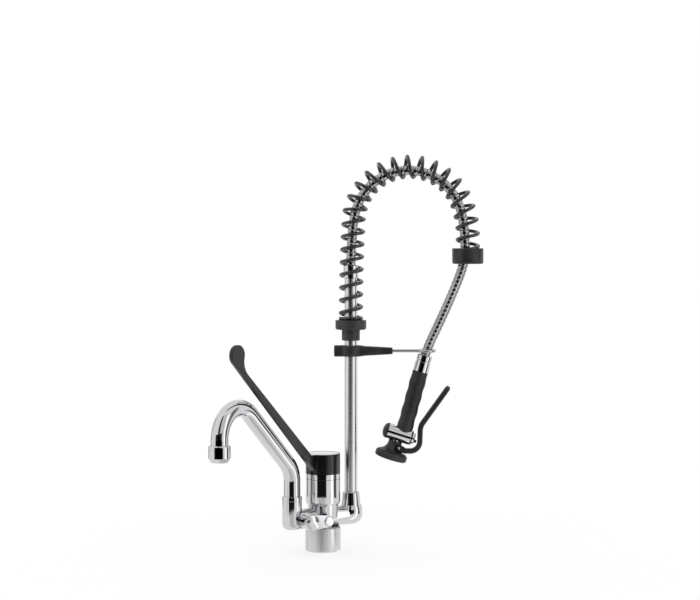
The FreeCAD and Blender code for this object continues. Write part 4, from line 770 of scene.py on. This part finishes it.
def make_head():
    """Bell with room for the trigger's fork, the lug and its rivet, and the rubber rim."""
    foot, way = in_arch(*SPRAY_FACE), arch_way(*SPRAY_WAY)
    head = piece_of("spray_bell_skin", [lathe(foot, way, bowed(BELL_FOOT, BELL_BOWS, BELL_TOP))],
                    handset_black, "handset", "black_plastic", "spray_head")
    pin = in_arch(*PIVOT)
    carve(head, [lathe(pin, ARCH_SIDE, LUG_ROOM), lathe(pin, -ARCH_SIDE, LUG_ROOM),
                 lathe(in_arch(*BAR_ROOM_AT), ARCH_SIDE, BAR_ROOM)])
    piece_of("trigger_lug", [lathe(pin, ARCH_SIDE, rounded(LUG, 3))], handset_black, "handset",
             "black_plastic")
    piece_of("pivot_skin", [lathe(pin, ARCH_SIDE, RIVET)], steel, "handset", "steel",
             "pivot_pin")
    rim = rounded(BUMPER, 5)[:-1]
    piece_of("bumper_skin", [lathe(foot, way, rim, closed=True, sides=FINE_SIDES)], rubber,
             "handset", "black_rubber", "spray_bumper")


def make_trigger():
    """Bent bar with a rounded tip, and two cheeks at the pin."""
    route = rounded(TRIGGER_ROUTE, 12)
    fine = [Vector(route[0])]
    for a, b in zip(route, route[1:]):
        a, b = Vector(a), Vector(b)
        count = max(1, math.ceil((b - a).length / TRIGGER_STEP))
        fine += [a.lerp(b, k / count) for k in range(1, count + 1)]
    line = arch_line(fine)
    gone = [0.0]
    for a, b in zip(line, line[1:]):
        gone.append(gone[-1] + (b - a).length)
    left = [gone[-1] - g for g in gone]
    shrink = [math.sqrt(max(TIP_LEAST, 1 - max(0.0, 1 - g / TIP_L) ** 2)) for g in left]
    wide = [TRIGGER_W / 2000 * s for s in shrink]
    thick = [TRIGGER_T / 2000 * (1 - TIP_THINNING + TIP_THINNING * s) for s in shrink]
    parts = [bar(line, wide, thick, TRIGGER_SQUARE)]
    start = Vector(route[0])
    pin = Vector(PIVOT) * 1000
    for side in (-1, 1):
        offset = ARCH_SIDE * (side * CHEEK_SIDE)
        cheek = [place + offset for place in arch_line([pin, pin.lerp(start, 0.5), start])]
        parts.append(bar(cheek, [CHEEK_HALF_T] * 3, CHEEK_HALF_UP, CHEEK_SQUARE))
        eye_at = in_arch(*PIVOT, side * CHEEK_SIDE - CHEEK_HALF_T)
        parts.append(lathe(eye_at, ARCH_SIDE, rounded(CHEEK_EYE, 3)))
    piece_of("trigger_skin", parts, handset_black, "trigger_lever", "black_plastic", "trigger")


def make_arm():
    """Collar drawn out into a tapering arm, and its screw."""
    line, wide, tall = [], [], []
    first, last = SHOULDER
    for k in range(ARM_STEPS + 1):
        u = -CLAMP_BACK + (CLAMP_TIP_U + CLAMP_BACK) * k / ARM_STEPS
        line.append(in_arch(u / 1000, ARM_Z))
        collar = math.sqrt(max(0.0, CLAMP_R ** 2 - u * u))
        taper = ARM_W - ARM_TAPER * max(0.0, u) / CLAMP_TIP_U
        wide.append(max(collar, CLAMP_BACK_W if u < 0 else taper) / 1000)
        share = min(1.0, max(0.0, (u - first) / (last - first)))
        share = share * share * (3 - 2 * share)
        drop = ARM_DROP * max(0.0, u - last) / (CLAMP_TIP_U - last)
        tall.append((CLAMP_H - SHOULDER_DROP * share - drop) / 1000)
    for i, edge in ((0, BACK_EDGE), (ARM_STEPS, TIP_EDGE)):
        wide[i] -= edge / 1000
        tall[i] -= edge / 1000
    line.insert(1, line[0] + ARCH_OUT * (BACK_EDGE_U / 1000))
    wide.insert(1, BACK_SECTION[0] / 1000)
    tall.insert(1, BACK_SECTION[1] / 1000)
    piece_of("arm_skin", [bar(line, wide, tall, ARM_SQUARE)], arm_black, "arch",
             "black_plastic", "arm_clamp")
    back = in_arch(-CLAMP_BACK / 1000, ARM_Z)
    piece_of("arm_screw_skin", [lathe(back, ARCH_OUT, ARM_SCREW)], steel, "arch", "steel",
             "arm_clamp_screw")


def make_free_cup():
    """Cup on the free end of the spring, which hangs lower than the solid one."""
    low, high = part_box("upper_spring_cup")
    middle = (low + high) / 2
    middle.z = low.z - (SPRING_TAIL - SOLID_TAIL)
    cup = rounded(FREE_CUP, 5)[1:-1]
    piece_of("free_cup_skin", [lathe(middle, UP, cup, closed=True)], arm_black, "arch",
             "black_plastic", "upper_spring_cup")


def make_hook():
    """Rod from the arm's tip with the ring that the hose passes through."""
    wire = []
    for k in range(ROD_STEPS):
        angle = 2 * math.pi * k / ROD_STEPS
        wire.append((RING_R + ROD_R * math.cos(angle), ROD_R * math.sin(angle)))
    ring = lathe(in_arch(RING_U / 1000, ARM_Z), UP, wire, closed=True)
    rod_l = RING_U - RING_R - ROD_START_U
    rod = lathe(in_arch(ROD_START_U / 1000, ARM_Z), ARCH_OUT,
                [(0, 0), (ROD_R, 0), (ROD_R, rod_l), (0, rod_l)])
    piece_of("hook_skin", [rod, ring], steel, "arch", "steel", "arm_hook")


def make_mixer():
    """Closed top of the pedestal, foot of the cartridge housing, and a thin black ring of painted
    shade for the dark groove under its cover.
    """
    piece_of("pedestal_top", [lathe(Vector(), UP, PEDESTAL_TOP)], satin, "mixer",
             "satin_steel")
    skirt = bowed(SKIRT_FOOT, SKIRT_BOWS, SKIRT_TOP)
    elbow = bowed(ELBOW_FOOT, ELBOW_BOWS, ELBOW_TOP)
    parts = [lathe(Vector(), UP, skirt, closed=True, sides=FINE_SIDES),
             lathe(ARMS_START, Vector((1, 0, 0)), ARMS_SHELL, closed=True),
             lathe(Vector((COLUMN_X, 0, 0)), UP, elbow)]
    piece_of("housing_foot", parts, chrome, "mixer", "chrome")
    # Painted shade: a black ring where the groove under the cover falls dark
    groove_shade = lathe(Vector(), UP, HOUSING_GROOVE_SHADE, closed=True, sides=FINE_SIDES)
    piece_of("housing_groove_painted_shade", [groove_shade], handset_black, "mixer", "black_rubber")


make_hose()
make_spring()
make_grip()
make_valve()
make_head()
make_trigger()
make_arm()
make_free_cup()
make_hook()
make_mixer()


# -------------------------------------------------------------------- stage

def window(tree, value, low, high, soft):
    """1 between low and high, falling to 0 over the soft width at each side."""
    rise = tree.nodes.new("ShaderNodeMapRange")
    fall = tree.nodes.new("ShaderNodeMapRange")
    for node, edge, ends in ((rise, low, (0, 1)), (fall, high, (1, 0))):
        node.interpolation_type = "SMOOTHSTEP"
        node.inputs["From Min"].default_value = edge - soft
        node.inputs["From Max"].default_value = edge + soft
        node.inputs["To Min"].default_value = ends[0]
        node.inputs["To Max"].default_value = ends[1]
        tree.links.new(value, node.inputs["Value"])
    return maths(tree, "MULTIPLY", rise.outputs["Result"], fall.outputs["Result"])


def maths(tree, operation, *values):
    node = tree.nodes.new("ShaderNodeMath")
    node.operation = operation
    for socket, value in zip(node.inputs, values):
        if isinstance(value, (int, float)):
            socket.default_value = value
        else:
            tree.links.new(value, socket)
    return node.outputs["Value"]


def dot(tree, vector, direction):
    node = tree.nodes.new("ShaderNodeVectorMath")
    node.operation = "DOT_PRODUCT"
    node.inputs[1].default_value = direction
    tree.links.new(vector, node.inputs[0])
    return node.outputs["Value"]


def studio_level(tree, position, flat):
    """Light that polished metal sees at a place of the floor or in a direction of the world."""
    near, right = dot(tree, position, NEAR), dot(tree, position, RIGHT)
    bearing = maths(tree, "MULTIPLY", maths(tree, "ARCTAN2", right, near), 180 / math.pi)
    if flat:
        reach = maths(tree, "SQRT", maths(tree, "ADD", maths(tree, "MULTIPLY", near, near),
                                          maths(tree, "MULTIPLY", right, right)))
        flags, strips, soft_end = FLOOR_FLAGS, FLOOR_STRIPS, FLOOR_SOFT
    else:
        reach = dot(tree, position, UP)
        flags, strips, soft_end = WORLD_FLAGS, WORLD_STRIPS, WORLD_SOFT

    def patch(low, high, soft, inner, outer, depth):
        mask = maths(tree, "MULTIPLY", window(tree, bearing, low, high, soft),
                     window(tree, reach, inner, outer, soft_end))
        return maths(tree, "MULTIPLY", mask, depth)

    level = 1.0
    for flag in flags:
        level = maths(tree, "MULTIPLY", level, maths(tree, "SUBTRACT", 1.0, patch(*flag)))
    for strip in strips:
        level = maths(tree, "ADD", level, patch(*strip))
    return level


def make_floor():
    """White floor that takes the shadow, and that metal sees with the studio's flags."""
    mesh = bpy.data.meshes.new("floor")
    corners = [(x * FLOOR_HALF, y * FLOOR_HALF, 0) for x, y in ((-1, -1), (1, -1), (1, 1), (-1, 1))]
    mesh.from_pydata(corners, [], [(0, 1, 2, 3)])
    floor = link("floor", mesh)
    material = bpy.data.materials.new("floor_white")
    material.use_nodes = True
    tree = material.node_tree
    tree.nodes.clear()
    output = tree.nodes.new("ShaderNodeOutputMaterial")
    paint = tree.nodes.new("ShaderNodeBsdfDiffuse")
    paint.inputs["Color"].default_value = (1, 1, 1, 1)
    glow = tree.nodes.new("ShaderNodeEmission")
    where = tree.nodes.new("ShaderNodeNewGeometry")
    tree.links.new(studio_level(tree, where.outputs["Position"], True), glow.inputs["Strength"])
    rays = tree.nodes.new("ShaderNodeLightPath")
    mix = tree.nodes.new("ShaderNodeMixShader")
    tree.links.new(rays.outputs["Is Glossy Ray"], mix.inputs["Fac"])
    tree.links.new(paint.outputs[0], mix.inputs[1])
    tree.links.new(glow.outputs[0], mix.inputs[2])
    white = tree.nodes.new("ShaderNodeEmission")
    shown = tree.nodes.new("ShaderNodeMixShader")
    tree.links.new(maths(tree, "MULTIPLY", rays.outputs["Is Camera Ray"], FLOOR_GLOW),
                   shown.inputs["Fac"])
    tree.links.new(mix.outputs[0], shown.inputs[1])
    tree.links.new(white.outputs[0], shown.inputs[2])
    tree.links.new(shown.outputs[0], output.inputs["Surface"])
    mesh.materials.append(material)


def make_world():
    """Plain white light, with the flags and the strip for metal only."""
    world = bpy.data.worlds.new("studio")
    scene.world = world
    world.use_nodes = True
    tree = world.node_tree
    tree.nodes.clear()
    output = tree.nodes.new("ShaderNodeOutputWorld")
    plain = tree.nodes.new("ShaderNodeBackground")
    plain.inputs["Color"].default_value = (1, 1, 1, 1)
    plain.inputs["Strength"].default_value = 1.0
    seen = tree.nodes.new("ShaderNodeBackground")
    seen.inputs["Color"].default_value = (1, 1, 1, 1)
    coords = tree.nodes.new("ShaderNodeTexCoord")
    tree.links.new(studio_level(tree, coords.outputs["Generated"], False),
                   seen.inputs["Strength"])
    rays = tree.nodes.new("ShaderNodeLightPath")
    mix = tree.nodes.new("ShaderNodeMixShader")
    tree.links.new(rays.outputs["Is Glossy Ray"], mix.inputs["Fac"])
    tree.links.new(plain.outputs[0], mix.inputs[1])
    tree.links.new(seen.outputs[0], mix.inputs[2])
    tree.links.new(mix.outputs[0], output.inputs["Surface"])


make_floor()
make_world()

camera_data = bpy.data.cameras.new("camera")
camera_data.sensor_width = SENSOR_W
camera_data.lens = SENSOR_W * FOCAL_PX / PICTURE_W
camera_data.shift_y = SHIFT_PX / PICTURE_W
camera_data.clip_end = CLIP_END
camera = link("camera", camera_data)
camera.location = RIGHT * CAMERA_RIGHT + NEAR * CAMERA_NEAR + UP * CAMERA_Z
camera.rotation_euler = (math.pi / 2, 0, VIEW_AZIMUTH)
scene.camera = camera

scene.view_settings.view_transform = "Standard"
